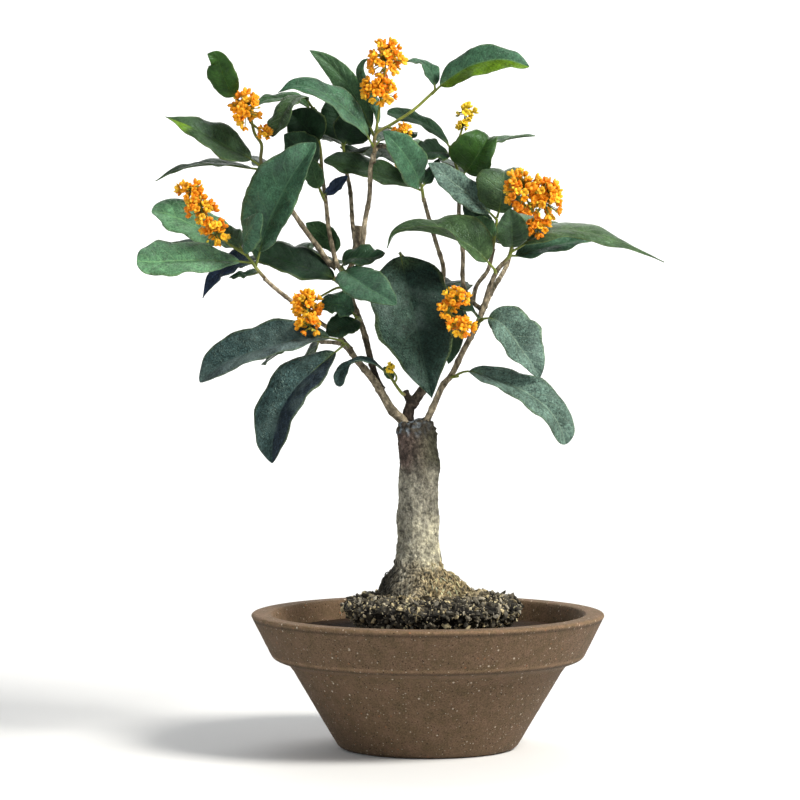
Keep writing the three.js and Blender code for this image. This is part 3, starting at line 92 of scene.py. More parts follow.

# %% [markdown]
# ## Colours
#
# Colours are linear red, green and blue. A leaf takes one of these tones, because leaves of one
# tree differ with age, and because some tones paint light: the bluish tones are partly a painted
# reflection of the sky, shade is painted shade for leaves in the shadow of others, and the tones
# given as a tip_tone or half_tone paint light, sheen and shade on one half or the tip of a leaf.
# The fourth number says how old and rough such a leaf is, from 0 to 1. The bluish, grey and dusty
# tones belong to the old leaves.

# %% Colours
TONES = {
    # painted highlight: a lit green for the tip or the lit half of a leaf
    "painted_lit_green": (0.095, 0.185, 0.010, 0.1),
    "grass": (0.024, 0.066, 0.010, 0.1),
    "mid": (0.045, 0.100, 0.042, 0.2),
    "teal": (0.045, 0.112, 0.062, 0.4),
    "light": (0.105, 0.240, 0.120, 0.5),
    "sage": (0.092, 0.150, 0.122, 0.8),
    "olive": (0.045, 0.085, 0.034, 0.3),
    "deep": (0.018, 0.045, 0.022, 0.2),
    # painted shade: a near-black green for leaves that lie in the shadow of others
    "shade": (0.004, 0.016, 0.005, 0.2),
    # blue and navy are partly a painted reflection of the sky on a green leaf
    "blue": (0.030, 0.056, 0.055, 0.9),
    "navy": (0.026, 0.040, 0.085, 0.5),
    "dusty": (0.009, 0.021, 0.016, 1.0),
    "moss": (0.024, 0.052, 0.018, 0.3),
    # painted sheen of the sky on one half of a leaf
    "painted_sheen_slate": (0.066, 0.092, 0.094, 0.9),
    # painted shade on one half of a leaf
    "painted_shade_night": (0.016, 0.024, 0.036, 0.9),
    # painted light on one half of a leaf
    "painted_lit_frost": (0.024, 0.046, 0.035, 1.0),
}
UNDERSIDE = (0.060, 0.110, 0.035)
RIM_GREEN = (0.200, 0.260, 0.080)
RIB_GREEN = (0.120, 0.190, 0.060)
STEM_GREEN = (0.170, 0.200, 0.040)
STEM_BROWN = (0.200, 0.150, 0.085)
PETAL_ORANGES = [(0.98, 0.38, 0.010), (1.0, 0.56, 0.030), (0.92, 0.28, 0.006), (1.0, 0.44, 0.015)]
PETAL_YELLOW = (0.95, 0.72, 0.050)
FLOWER_HEART = (0.50, 0.36, 0.015)
BARK_GREY = (0.270, 0.254, 0.205)
BARK_DARK = (0.050, 0.044, 0.034)
BARK_PALE_AND_LIT = (0.640, 0.600, 0.430)
BARK_RED = (0.098, 0.068, 0.058)
BARK_OLIVE = (0.062, 0.060, 0.038)
BARK_CUT = (0.240, 0.290, 0.330)
LIMB_GREY = (0.270, 0.225, 0.155)
LIMB_DARK = (0.050, 0.038, 0.030)
FIBRE = (0.400, 0.310, 0.165)
SOIL_DARK = (0.012, 0.011, 0.010)
SOIL_GREY = (0.130, 0.120, 0.098)
SOIL_BROWN = (0.034, 0.017, 0.007)
STRAW = (0.620, 0.520, 0.310)
print("leaf tones:", len(TONES), "petal tones:", len(PETAL_ORANGES) + 1)

# %% [markdown]
# ## The plant, limb by limb
#
# The tables follow the tree from the root flare upwards. Paths could be grown by a rule, but this
# tree has its own habit, so each limb and leaf is listed one by one. The trunk is a centre line
# with a radius at each point. A limb has its radius at the start and at the end, then its path.

# %% Trunk, roots and limbs
TRUNK = [
    (-7, 0, 78, 16), (-7, 0, 96, 25), (-7, 0, 106, 27), (-7, 0, 114, 24), (-6.8, 0, 121, 19.3),
    (-7, 0, 128, 16), (-6.5, 0, 137, 14.9), (-6.3, 0, 148, 13.8), (-6.5, 0, 160, 13.8),
    (-6.8, 0, 174, 13.1), (-6.5, 0, 188, 13.1), (-6.1, 0, 199, 13.8), (-7.5, 0, 212, 12.8),
    (-9, 0, 223, 13), (-10, 0, 229, 11),
]

ROOTS = [
    [(-12, -2, 114), (-26, -8, 104), (-36, -12, 90), (-42, -16, 66)],
    [(-10, 8, 114), (-26, 24, 104), (-34, 36, 90), (-38, 42, 60)],
    [(-4, -8, 114), (-10, -26, 105), (-16, -38, 90), (-18, -46, 60)],
    [(2, -4, 115), (16, -18, 104), (26, -28, 90), (32, -34, 58)],
    [(2, 6, 115), (16, 22, 104), (26, 32, 90), (30, 38, 58)],
    [(2, -1, 116), (13, -3, 115), (23, -4, 108), (30, -1, 86)],
]
ROOT_RADII = [9, 8, 5.5, 2.5]

LIMBS = {
    "left_limb": (3.6, 2, [(-15, -2, 222), (-18, -3, 230), (-25, -5, 237), (-31.5, -7, 248), (-37, -9, 257),
        (-44, -12, 266), (-50, -14, 273), (-55, -15.5, 281)]),
    "dark_limb": (2.4, 1.8, [(-33, -7, 252), (-36, -4, 259), (-40, 0, 272), (-45, 3, 292), (-53, 6, 313),
        (-57, 8, 324), (-60, 9, 334), (-66, 10, 341)]),
    "far_left_limb": (2, 1.5, [(-64, 10, 337), (-69, 10, 340), (-77, 11, 351), (-86, 12, 363),
        (-95, 12, 376), (-106, 10, 392), (-111, 9, 399)]),
    "upright_twig": (1.6, 1.4, [(-64, 9, 338), (-68, 14, 355), (-70, 18, 366), (-72, 24, 384),
        (-75, 32, 404)]),
    "top_limb": (1.9, 1.5, [(-58, 8, 327), (-54, 7, 338), (-47, 5, 349), (-44, 3, 370), (-41, 0, 386),
        (-40, -2, 407), (-38, -3, 416)]),
    "back_twig": (1.6, 1.4, [(-52, 8, 343), (-51, 14, 352), (-53, 24, 367), (-55, 36, 392), (-58, 40, 406)]),
    "sawn_stub": (2.6, 2.4, [(-52, 8, 342), (-50, 9, 352), (-48.5, 10, 366)]),
    "thin_left_twig": (1.6, 1.4, [(-54, -14, 280), (-63, -8, 290), (-76, -4, 299), (-92, -6, 311),
        (-107, -10, 323), (-114, -12.5, 329.5)]),
    "middle_limb": (4.2, 1.6, [(-14, 3, 222), (-13, 3, 238), (-6, 5, 248), (-1, 8, 256), (2, 14, 272),
        (6, 20, 292), (9, 22, 313), (11, 20, 332)]),
    "middle_twig": (1.6, 1.4, [(10, 21, 326), (11, 19, 336), (5.5, 17, 355), (0, 14, 374), (-3, 11, 385)]),
    "dead_stub": (2.6, 2.3, [(-9, 3, 240), (-14, 0, 246), (-16, -2, 250)]),
    "right_limb": (2.4, 1.6, [(-6, -3, 222), (-1, -4, 230), (5, -5, 243), (10.5, -6, 255), (16, -7, 261.5),
        (24, -9, 278), (34, -11, 297), (39, -12, 311), (42, -13, 321), (48, -14, 335), (52, -15, 340)]),
    "inner_right_twig": (1.6, 1.4, [(38.5, -11, 307), (31, -2, 313), (25, 6, 324), (24.5, 13, 348),
        (22, 18, 368), (22, 22, 385)]),
    "slim_right_twig": (1.5, 1.4, [(31, -2, 312), (34, 3, 324), (42, 8, 335), (46, 12, 350)]),
    "rear_centre_limb": (2.2, 1.5, [(2, 14, 272), (4, 34, 284), (6, 54, 300), (2, 70, 314)]),
    "rear_top_twig": (1.5, 1.4, [(-38.5, -3, 411), (-37, 10, 419), (-34, 30, 422), (-31, 47, 422.5)]),
    "rear_right_limb": (1.8, 1.4, [(39, -12, 310), (46, 12, 322), (56, 36, 338), (60, 52, 350)]),
    "rear_left_limb": (1.8, 1.4, [(-56, 8, 321), (-68, 28, 330), (-84, 48, 337), (-92, 60, 342)]),
    "low_left_limb": (1.6, 1.4, [(-53, -13, 277), (-60, 2, 283), (-66, 14, 284), (-75, 27, 284)]),
}
print("limbs and twigs:", len(LIMBS), "roots:", len(ROOTS))

# %% [markdown]
# A shoot has its green stems and its leaves. A leaf has its width, the way its glossy side faces,
# its tone and the path of its midrib from foot to tip. Some leaves say more. A larger taper gives
# a longer tip. fold is the angle, in radians, that each half is lifted by, and skew how much wider
# one half is than the other. A blade that turns over has a tip_face, and bends holds the two
# shares of its length between which it turns. tip_tone paints a highlight on the tip. half_tone
# paints the half on the given side with painted light, painted shade and a painted reflection of
# the sky, because a folded leaf is lit and mirrors the sky on one half only.


# %% Shoots
def leaf(width, face, tone, path, **more):
    return {"width": width, "face": face, "tone": tone, "path": path, **more}


SHOOTS = {
    "shoot_top": (
        [[(-37.5, -3, 417), (-36.4, -4, 430), (-26.5, -6, 436), (-11, -6, 446), (5.6, -5, 461)]],
        {
            "arched_left": leaf(28, (0.35, -0.6, 0.75), "teal", [(-38, -4, 421), (-47, -12, 436),
                (-60, -18, 449), (-76, -22, 459), (-92, -24, 463), (-104, -24, 458)], taper=1.1),
            "tall_left": leaf(18, (-0.3, -0.8, 0.4), "mid", [(-37, -3, 427), (-46, 10, 448), (-58, 17, 467),
                (-70, 18, 480), (-83, 15, 489)]),
            "crescent": leaf(10, (0.6, -0.7, 0.2), "teal", [(-35.5, -4.5, 431), (-36, 2, 444), (-42, 8, 460),
                (-48, 9, 473), (-46, 8, 480), (-42, 7, 483)]),
            "crown_right": leaf(26, (-0.2, -0.8, 0.6), "teal", [(2.5, -5, 457.5), (12, -8, 466),
                (30, -14, 477), (52, -18, 481), (70, -18, 476)], half_tone="painted_lit_green", side=1),
            "crown_left": leaf(13, (0, -0.3, 1), "teal", [(5, -5, 460), (3, 0, 471), (-3, 4, 479),
                (-17, 6, 481)]),
            "behind": leaf(28, (0, -0.25, 1), "deep", [(-37, -3, 422), (-31, 14, 428), (-21, 40, 431),
                (-10, 66, 429)]),
        },
    ),
    "shoot_upper_left": (
        [[(-112, 9, 401), (-117, 8, 411), (-116.5, 6, 423), (-121, 5, 430), (-125, 3, 444), (-133, 2, 454)]],
        {
            "upright": leaf(21, (-0.3, -1, 0.1), "grass", [(-132, 2, 453), (-138, -3, 461), (-143, -9, 472),
                (-146, -13, 481), (-153, -17, 485)]),
            "long_upper": leaf(31, (0.2, -0.7, 0.68), "moss", [(-117.2, 8, 407.9), (-126.9, 5, 414.2),
                (-140, 1, 421.1), (-156.6, -3, 430.1), (-171.1, -7, 437), (-182.8, -9, 441.8)],
                taper=1.2, tip_tone="painted_lit_green"),
            "long_lower": leaf(19, (0.05, -0.2, 1), "olive", [(-115.5, 9, 405.1), (-125.7, 10, 406.6),
                (-139.1, 12, 408.7), (-157.4, 12, 408.7), (-175.6, 10, 405.1), (-190.9, 8, 397.4)],
                taper=1.1),
            "behind_one": leaf(30, (0.1, -0.2, 1), "deep", [(-113.5, 9.2, 403.3), (-112, 30, 409),
                (-113, 60, 411), (-117, 95, 405)]),
        },
    ),
    "shoot_back_left": (
        [[(-74.7, 31, 402), (-76, 34, 420), (-79, 34, 436), (-80.5, 33, 450)]],
        {
            "strap": leaf(19, (-0.5, -0.6, 0.6), "olive", [(-81.6, 33, 449.5), (-86.8, 28, 456.4),
                (-94.4, 22, 454.1), (-101.2, 14, 444.6), (-104.6, 8, 436), (-108.6, 4, 428.2)], taper=0.4),
            "far_strap": leaf(15, (0, -0.45, 0.9), "mid", [(-80.9, 33, 445.9), (-89.9, 38, 454.6),
                (-102.6, 36, 456), (-114.5, 31, 454.4), (-120, 26, 450.7)]),
            "shade_high": leaf(30, (-0.2, -0.9, 0.4), "shade", [(-76.5, 34, 422), (-82, 31, 431),
                (-90, 28, 439), (-98, 26, 446)]),
            "shade_low": leaf(26, (-0.3, -0.85, 0.5), "deep", [(-75.5, 32, 408), (-83, 26, 415),
                (-93, 20, 423), (-101, 15, 430)]),
            "behind": leaf(28, (0, -0.2, 1), "shade", [(-79, 34, 438), (-92, 51, 443), (-104, 82, 438)]),
        },
    ),
    "shoot_back_middle": (
        [[(-57.9, 39.8, 405.2), (-59, 42, 415), (-60, 43, 424)]],
        {
            "shade_right": leaf(28, (0.2, -0.9, 0.3), "shade", [(-60, 43, 421), (-56, 40, 430),
                (-51, 36, 440), (-48, 32, 449)]),
            "shade_left": leaf(30, (-0.1, -0.9, 0.3), "shade", [(-60, 43, 423), (-62, 46, 434),
                (-65, 49, 446), (-70, 51, 457)]),
            "behind_right": leaf(28, (0, -0.2, 1), "shade", [(-59, 42, 416), (-50, 62, 420),
                (-38, 92, 414)]),
            "behind_left": leaf(28, (0, -0.2, 1), "shade", [(-60, 43, 422), (-64, 66, 429), (-70, 96, 427)]),
        },
    ),
    "shoot_fork": (
        [[(-72, 23, 383), (-74, 20, 387), (-76, 19, 392)]],
        {
            "pointed": leaf(15, (-0.4, -0.9, 0.1), "mid", [(-75.5, 19, 390), (-78, 19, 397), (-80, 20, 404),
                (-80, 21, 412)]),
            "blue": leaf(9, (0.1, -0.9, 0.5), "navy", [(-74.6, 20, 387), (-67.6, 20, 391.2),
                (-62.6, 21, 396.2), (-56.3, 22, 401.1)]),
        },
    ),
    "shoot_left": (
        [[(-114, -12.5, 330), (-119, -15, 336), (-124, -15, 343), (-130, -14, 350)]],
        {
            "big_folded": leaf(42, (-0.25, -0.9, 0.35), "teal", [(-119.8, -15, 337.6), (-115.9, -18, 351.9),
                (-111.6, -22, 365.7), (-104.1, -27, 381.7), (-94.9, -33, 398.9), (-85.9, -36, 412),
                (-77.6, -35, 423)], fold=0.4, skew=-0.15),
            "pale_folded": leaf(22, (-0.1, -0.9, 0.4), "teal", [(-128.2, -14.8, 349.1), (-126.7, -33, 357.4),
                (-120.8, -43, 366.4), (-114.5, -46, 374.7)], fold=-0.3),
            "small_dark": leaf(16, (0.3, -0.8, 0.5), "moss", [(-129, -14, 349), (-134, -12, 356),
                (-141, -9, 361), (-148, -7, 363)]),
            "far_pointed": leaf(33, (0, -0.65, 0.75), "light", [(-128.2, -13.5, 348.4), (-138.4, -4, 353.9),
                (-152.8, 4, 360.9), (-171.3, 8, 369.3), (-183.3, 10, 374.2), (-193.8, 9, 376.3)],
                taper=0.45),
            "broad": leaf(34, (-0.05, -0.7, 0.7), "light", [(-122.3, -15, 340.4), (-135, -18, 341.4),
                (-154.9, -22, 342.1), (-177.7, -25, 341.5), (-191.4, -27, 340.8), (-201.7, -28, 341.5)],
                taper=0.3),
            "under": leaf(14, (0, -0.4, 0.9), "deep", [(-117, -14, 334), (-124, -8, 332), (-131, -4, 331),
                (-139, -1, 330)]),
            "hanging_blue": leaf(19, (-0.5, -0.7, 0.5), "navy", [(-120.9, -14.5, 339.7), (-133.2, 4, 340.5),
                (-144.9, 14, 334.8), (-153.5, 17, 324.9), (-158.5, 18, 315.1)], taper=1.1),
            "edge_on": leaf(16, (0, -0.15, 1), "deep", [(-126, -14, 346), (-133, 8, 350), (-146, 24, 354),
                (-170, 30, 354), (-184, 30, 354)]),
        },
    ),
    "shoot_inner_left": (
        [[(-60, 8, 334), (-61, 2, 336), (-60, -4, 337.5)]],
        {
            "cross": leaf(24, (0, -0.6, 0.8), "deep", [(-61, 1, 336), (-57, -3, 342), (-48, -7, 344),
                (-38, -9, 344), (-30, -11, 347)]),
            "pale": leaf(30, (-0.1, -0.7, 0.7), "teal", [(-60, -4, 337), (-55, -20, 332), (-45, -35, 325),
                (-33, -47, 318), (-22, -56, 312)]),
        },
    ),
    "shoot_fork_leaf": (
        [[(-66, 11, 341), (-66, 15, 344)]],
        {
            "olive": leaf(16, (-0.2, -0.9, 0.3), "mid", [(-66, 14, 343), (-67, 18, 352), (-75, 22, 361),
                (-86, 24, 368)]),
        },
    ),
    "shoot_left_low_dark": (
        [[(-57, 7, 323), (-61, 4, 325)]],
        {
            "long_dark": leaf(34, (0, -0.6, 0.8), "shade", [(-59, 5.5, 324), (-70, 5, 331), (-90, 7, 338),
                (-110, 9, 345), (-128, 11, 354)]),
        },
    ),
    "shoot_left_cupped": (
        [[(-47, 3, 300), (-49, -3, 302), (-51, -6, 303)]],
        {
            "upper": leaf(24, (-0.2, -0.65, 0.75), "teal", [(-50.5, -5, 303), (-56, -7, 308), (-65, -8, 311),
                (-75, -9, 308)]),
            "lower": leaf(21, (0.1, -0.75, 0.65), "deep", [(-49.5, -4, 302), (-54, -11, 299),
                (-62, -17, 295), (-71, -20, 290)]),
        },
    ),
    "shoot_low_left": (
        [[(-55, -16, 281), (-57, -21, 284), (-60, -25, 285)]],
        {
            "reaching": leaf(36, (-0.15, -0.75, 0.65), "blue", [(-59.1, -24, 286), (-67.3, -31, 288.3),
                (-79.7, -34, 289), (-96.9, -35, 286.3), (-117.6, -37, 280.2), (-138.2, -39, 272.6),
                (-157.6, -38, 258.1)], fold=0.5, taper=0.6, half_tone="painted_sheen_slate", side=-1),
            "drooping": leaf(37, (-0.4, -0.8, 0.4), "blue", [(-57.1, -21, 284.5), (-64.6, -28, 278.5),
                (-77.6, -34, 267.6), (-92.6, -41, 253.4), (-102.1, -46, 237.8), (-106.9, -48, 220),
                (-107.6, -47, 202.8)], fold=0.35, taper=0.7, half_tone="painted_shade_night", side=-1),
        },
    ),
    "shoot_low_rear": (
        [[(-75, 27, 284), (-79, 34, 285)]],
        {
            "reaching": leaf(28, (-0.2, -0.5, 0.85), "deep", [(-78.5, 33, 285), (-90, 44, 284),
                (-105, 62, 276), (-119, 78, 266)]),
            "drooping": leaf(28, (-0.3, -0.6, 0.7), "deep", [(-77, 31, 284.7), (-80, 46, 277),
                (-88, 64, 261), (-94, 78, 241)]),
        },
    ),
    "shoot_stub": (
        [[(-16, -1, 248), (-18, -8, 249), (-23, -16, 256), (-26, -22, 261)]],
        {
            "narrow": leaf(11, (0.2, -0.3, 1), "blue", [(-25.8, -21, 261.3), (-30.7, -25, 265.9),
                (-40.4, -27, 272.2), (-48, -28, 272.9), (-54.9, -28, 270.2), (-59.8, -28, 263.9),
                (-62.5, -27, 254.9)], taper=0.35),
            "tiny": leaf(7, (0, -1, 0.2), "olive", [(-24, -18, 258), (-27, -15, 263), (-31, -13, 268)]),
        },
    ),
    "shoot_centre": (
        [[(8, 21, 306), (4, 16, 318), (-6, 8, 332), (-16, 2, 343), (-20, -2, 347)]],
        {
            "largest": leaf(60, (0, -0.2, 1), "dusty", [(-18.2, 0, 344.8), (-19.6, -8, 347.6),
                (-17.5, -14, 337.2), (-12.7, -22, 314.4), (-7.8, -27, 293), (-3.7, -30, 274.4),
                (-0.2, -31, 258.5), (2.5, -31, 246.8)], tip_face=(0.1, -0.95, 0.3), taper=1.1,
                half_tone="painted_lit_frost", side=1),
            "beside": leaf(20, (0.5, -0.8, 0.2), "shade", [(6, 18.5, 313), (13, 8, 317), (17, -4, 304),
                (17, -12, 286), (14, -16, 270)]),
            "behind": leaf(26, (0, -0.3, 1), "shade", [(-6, 8, 332), (-16, 26, 333), (-26, 48, 326),
                (-34, 70, 314)]),
        },
    ),
    "shoot_middle": (
        [[(-3, 11, 383), (-4, 9, 391), (-5, 8, 396)]],
        {
            "front": leaf(27, (0.2, -0.9, 0.35), "teal", [(-4, 9, 391), (-6, 1, 396), (-10, -9, 405),
                (-17, -19, 416), (-25, -26, 425), (-31.5, -29, 431)]),
            "long_flat": leaf(26, (0.1, -0.6, 0.8), "moss", [(-4.1, 9, 390.7), (-10.5, 14, 393.2),
                (-22.4, 18, 398.2), (-37.9, 20, 403.9), (-57, 22, 408.9), (-73.3, 22, 411.7)], taper=0.5),
            "narrow": leaf(14, (-0.7, -0.7, 0), "deep", [(-4.5, 9, 393), (1, 13, 399), (5, 17, 406),
                (8, 19, 413)]),
            "behind": leaf(28, (0, -0.25, 1), "deep", [(-4.6, 8.7, 395), (-8, 30, 400), (-6, 62, 403),
                (-2, 88, 397)]),
        },
    ),
    "shoot_rear_top": (
        [[(-31, 47, 422.5), (-27, 60, 424)]],
        {
            "right": leaf(28, (0, -0.3, 1), "mid", [(-27.5, 57, 423.5), (-10, 65, 422), (14, 74, 416)]),
            "back": leaf(28, (0, -0.2, 1), "shade", [(-27, 59.5, 424), (-28, 84, 422), (-24, 114, 412)]),
        },
    ),
    "shoot_upper_right": (
        [[(22, 21.5, 383), (23, 22, 396), (20, 22, 408), (17, 22, 418)]],
        {
            "long_stalked": leaf(13, (0.2, -0.7, 0.7), "deep", [(17.5, 22, 417.7), (12.9, 25, 425.2),
                (4.5, 30, 433.8), (-6.1, 34, 440.3), (-17.5, 36, 443.9), (-28.8, 36, 446)], taper=0.3),
            "dark": leaf(22, (0, -0.75, 0.65), "shade", [(17, 22, 416), (8, 15, 418), (-1, 9, 418),
                (-10, 6, 417)]),
            "bent_back": leaf(35, (0.1, -1, 0.2), "grass", [(22.8, 22, 400.4), (27.7, 20, 405.3),
                (33.9, 13, 414.3), (38.5, 9, 421.5), (41.5, 11, 426.8), (43, 16, 428), (44.5, 22.5, 426)],
                tip_face=(0.35, -0.1, 0.93), bends=(0.45, 0.73), fold=0.42, taper=1.3, skew=-0.2),
            "flat_tip": leaf(18, (0, -0.15, 1), "mid", [(19.9, 22, 411), (32.8, 32, 419.7),
                (51.4, 37, 426.2), (66.3, 37, 429), (76.2, 36, 429.7)]),
            "behind": leaf(28, (0, -0.2, 1), "deep", [(20, 22.5, 405), (20, 46, 410), (22, 74, 410),
                (24, 100, 403)]),
        },
    ),
    "shoot_right_slim": (
        [[(45.3, 11.5, 348), (47, 12, 360), (48.5, 11, 371)]],
        {
            "sage": leaf(21, (-0.2, -0.8, 0.55), "sage", [(47.9, 10.5, 370.7), (41.4, 6, 377),
                (30.8, 0, 386.1), (18.9, -3, 395.1), (8.4, -4, 404.2), (0, -3, 409.8)], fold=0.1),
            "curled": leaf(32, (-0.05, -1, 0.15), "olive", [(48.6, 11, 372.1), (50.1, 3, 378.4),
                (51, -4, 386), (52, -6, 395.1), (52.8, -3, 402.1), (53.3, 5, 404.4), (53.6, 13, 402.4)],
                tip_face=(0, -0.1, 1), bends=(0.45, 0.8), fold=0.15, taper=0.7, skew=-0.15),
            "inner_one": leaf(16, (-0.1, -0.95, 0.2), "shade", [(46.2, 11.8, 353), (40, 15, 365),
                (32, 16, 375), (25, 16, 385)]),
            "inner_two": leaf(15, (0, -0.95, 0.2), "mid", [(47, 12, 356), (44, 10, 361), (38, 10, 366),
                (30, 10, 371)]),
        },
    ),
    "shoot_right_axil": (
        [[(47, -15, 333), (46, -19, 335)]],
        {
            "sweeping": leaf(35, (-0.2, -0.78, 0.6), "olive", [(47.1, -18, 334.5), (41.5, -22, 340.8),
                (32.4, -26, 349.8), (18.5, -29, 356.7), (8.1, -31, 360.2), (-3, -31, 362.3),
                (-16.1, -30, 363), (-24.4, -28, 359.5), (-28.6, -26, 350.5)], tip_face=(-0.1, -0.15, 1),
                bends=(0.25, 0.55), fold=0.5, taper=1.3, skew=0.2),
        },
    ),
    "shoot_right_end": (
        [[(52, -15, 340), (57, -16, 346), (58, -18, 352)]],
        {
            "widest": leaf(27, (-0.1, -0.5, 0.87), "olive", [(56.2, -16.5, 347), (65.8, -20, 352.6),
                (78.9, -24, 360.9), (96.8, -27, 363.3), (117.5, -28, 359.5), (136.9, -28, 352.2),
                (151.5, -27, 346.3), (163.4, -25, 340.8)], fold=-0.2, taper=1.6, skew=-0.3),
            "young": leaf(23, (0, -1, 0.2), "moss", [(57.8, -17.5, 349), (58, -25, 355.5), (57.5, -31, 366),
                (56, -35, 378)]),
            "under": leaf(20, (0, -0.6, 0.8), "teal", [(55.6, -15, 345.2), (64.2, -7, 345.5),
                (76.9, -3, 349.7), (91, 0, 353.2), (106.4, 1, 356), (120.5, 1, 358.1)]),
            "behind": leaf(28, (0, -0.4, 0.9), "mid", [(57, -16, 348), (61, 6, 362), (76, 34, 369),
                (94, 62, 366)]),
        },
    ),
    "shoot_right_middle": (
        [[(34, -12, 298), (36.5, -16, 300), (38, -18, 301)]],
        {
            "notched": leaf(32, (0.1, -0.85, 0.5), "sage", [(36, -17, 301.1), (42.9, -22, 301.9),
                (50.4, -27, 298.5), (57.9, -31, 289.7), (64.7, -33, 280), (71.6, -33, 270.4),
                (77.2, -31, 260.6)], fold=0.3, taper=0.9, skew=-0.2),
            "small": leaf(13, (0, -0.8, 0.6), "shade", [(35.7, -16, 300.7), (32.4, -26, 305.5),
                (25.9, -38, 309.9), (18.9, -46, 308.6)]),
        },
    ),
    "shoot_right_low": (
        [[(15, -8, 260.5), (18, -12, 261), (21, -14, 261.5)]],
        {
            "lowest": leaf(29, (0.2, -0.7, 0.7), "sage", [(19.4, -13.5, 262), (26.3, -18, 265),
                (41.4, -24, 261.7), (57.2, -29, 255.7), (71.6, -33, 248.2), (83.9, -36, 238),
                (90.8, -37, 227), (95, -36, 215.2)], fold=0.3, taper=0.5),
        },
    ),
    "shoot_rear_centre": (
        [[(2.5, 68, 312.5), (0, 78, 320)]],
        {
            "up_left": leaf(28, (0, -0.3, 1), "mid", [(0, 77, 319.5), (-16, 88, 326), (-30, 106, 322)]),
            "up_right": leaf(28, (0, -0.3, 1), "deep", [(1, 76, 319), (16, 88, 325), (28, 108, 319)]),
            "down_left": leaf(28, (-0.2, 0.5, 0.9), "deep", [(1, 72, 316), (-10, 86, 308), (-16, 104, 292)]),
            "down_right": leaf(28, (0.2, 0.5, 0.9), "mid", [(1, 73.5, 317), (14, 82, 306), (20, 96, 290)]),
        },
    ),
    "shoot_rear_right": (
        [[(59.7, 51.2, 349.5), (62, 60, 354)]],
        {
            "right": leaf(28, (0, -0.3, 1), "mid", [(62, 58, 352.5), (80, 68, 352), (102, 80, 350)]),
            "back": leaf(28, (0, -0.2, 1), "deep", [(62, 60, 354), (66, 84, 363), (64, 112, 362)]),
            "left": leaf(28, (0, -0.3, 1), "deep", [(61, 57, 352), (42, 68, 356), (24, 82, 356)]),
        },
    ),
    "shoot_rear_left": (
        [[(-91, 59, 341), (-97, 68, 344)]],
        {
            "left": leaf(28, (0, -0.3, 1), "deep", [(-96.3, 66, 343.3), (-118, 73, 341), (-138, 80, 336)]),
            "back": leaf(28, (0, -0.2, 1), "mid", [(-97.5, 68, 344.5), (-96, 94, 351), (-90, 120, 345)]),
            "right": leaf(28, (0, -0.3, 1), "deep", [(-94, 63, 342.5), (-78, 76, 343), (-62, 90, 339)]),
        },
    ),
}

leaf_count = sum(len(leaves) for _, leaves in SHOOTS.values())
print("shoots:", len(SHOOTS), "leaves:", leaf_count)

# %% [markdown]
# A flower cluster has stalks that grow from a leaf axil, and then its round heads. A head has its
# centre and its reach along each axis.

# %% Flower clusters
CLUSTERS = {
    "flowers_top": (
        [[(-36.4, -6, 431), (-35, -7, 441), (-33, -9, 454), (-30, -10, 476)]],
        [((-34, -10, 460), (11.5, 9, 9.5)),
         ((-29.5, -10, 482), (12.5, 10, 12))],
    ),
    "flowers_upper_left": (
        [[(-124, 2, 438), (-126, -4, 443)],
         [(-124, 2, 438), (-115, -3, 431)]],
        [((-127, -7, 447), (9, 7, 13)),
         ((-114, -3, 431), (4.5, 4, 4))],
    ),
    "flowers_top_small": (
        [[(-28, -7, 434.5), (-23, -10, 433), (-17.5, -13, 432)]],
        [((-17.5, -13, 432), (6, 4.5, 4))],
    ),
    "flowers_upper_right": (
        [[(18.5, 22.5, 414), (21, 30, 424), (25, 34, 437), (27, 34, 446)]],
        [((27, 34, 446), (6, 5, 5.5)),
         ((24.5, 33, 437), (3.5, 3.5, 3.5))],
    ),
    "flowers_right": (
        [[(58.3, -18, 352.3), (62, -22, 357), (68, -26, 364), (74, -28, 372), (79, -30, 384)],
         [(74, -28, 372), (66, -30, 388)]],
        [((65, -30, 391), (12, 10, 13)),
         ((81, -30, 384), (10.5, 9, 14)),
         ((75.5, -27, 365), (8, 6, 5))],
    ),
    "flowers_left": (
        [[(-125.5, -15, 345), (-139, -23, 354), (-147, -26, 361), (-157, -26, 377), (-164, -26, 390)]],
        [((-164.5, -26, 390), (8, 7, 7)),
         ((-157, -26, 377), (9, 7, 9)),
         ((-147.5, -26, 362), (8, 7, 8))],
    ),
    "flowers_left_inner": (
        [[(-57, 5, 321), (-62, -4, 323), (-71, -15, 319), (-83, -22, 311), (-82, -39, 298)]],
        [((-84, -22, 311), (10, 8, 9)),
         ((-82, -40, 298), (8, 6, 6.5))],
    ),
    "flowers_right_inner": (
        [[(33, -13, 295), (31, -28, 297), (23, -44, 297)],
         [(31, -28, 297), (25, -38, 300), (14, -44, 307), (19, -46, 317)]],
        [((19, -46, 317), (9, 6, 5)),
         ((13.5, -45, 309), (5, 5, 6)),
         ((23, -45, 297), (8, 6, 6))],
    ),
    "flower_bud": (
        [[(-23.5, -17.5, 257), (-22, -23, 261), (-26.5, -28.5, 268)]],
        [((-26.5, -28.5, 268), (2.6, 2.6, 3))],
    ),
    "flowers_rear_top": (
        [[(-29.2, 53, 423.1), (-26, 50, 417), (-14, 57, 411)]],
        [((-14, 57, 411.5), (7, 7, 5.5))],
    ),
    "flowers_rear_right": (
        [[(61, 54, 351), (66, 56, 362), (70, 58, 372)]],
        [((70, 58, 372), (9, 8, 8))],
    ),
    "flowers_rear_centre": (
        [[(2.1, 69.5, 313.6), (6, 68, 304), (8, 67, 298)]],
        [((8, 67, 298), (8, 8, 7))],
    ),
}
head_count = sum(len(heads) for _, heads in CLUSTERS.values())
print("flower clusters:", len(CLUSTERS), "heads:", head_count)

# %% [markdown]
# ## Gathering points into pieces
#
# A piece of the plant is made of many small parts, such as blades, ribs and petals. Thousands of
# objects would be slow, so the parts are gathered in one mesh. Each point keeps a tint and its
# place on its blade, which the materials read.


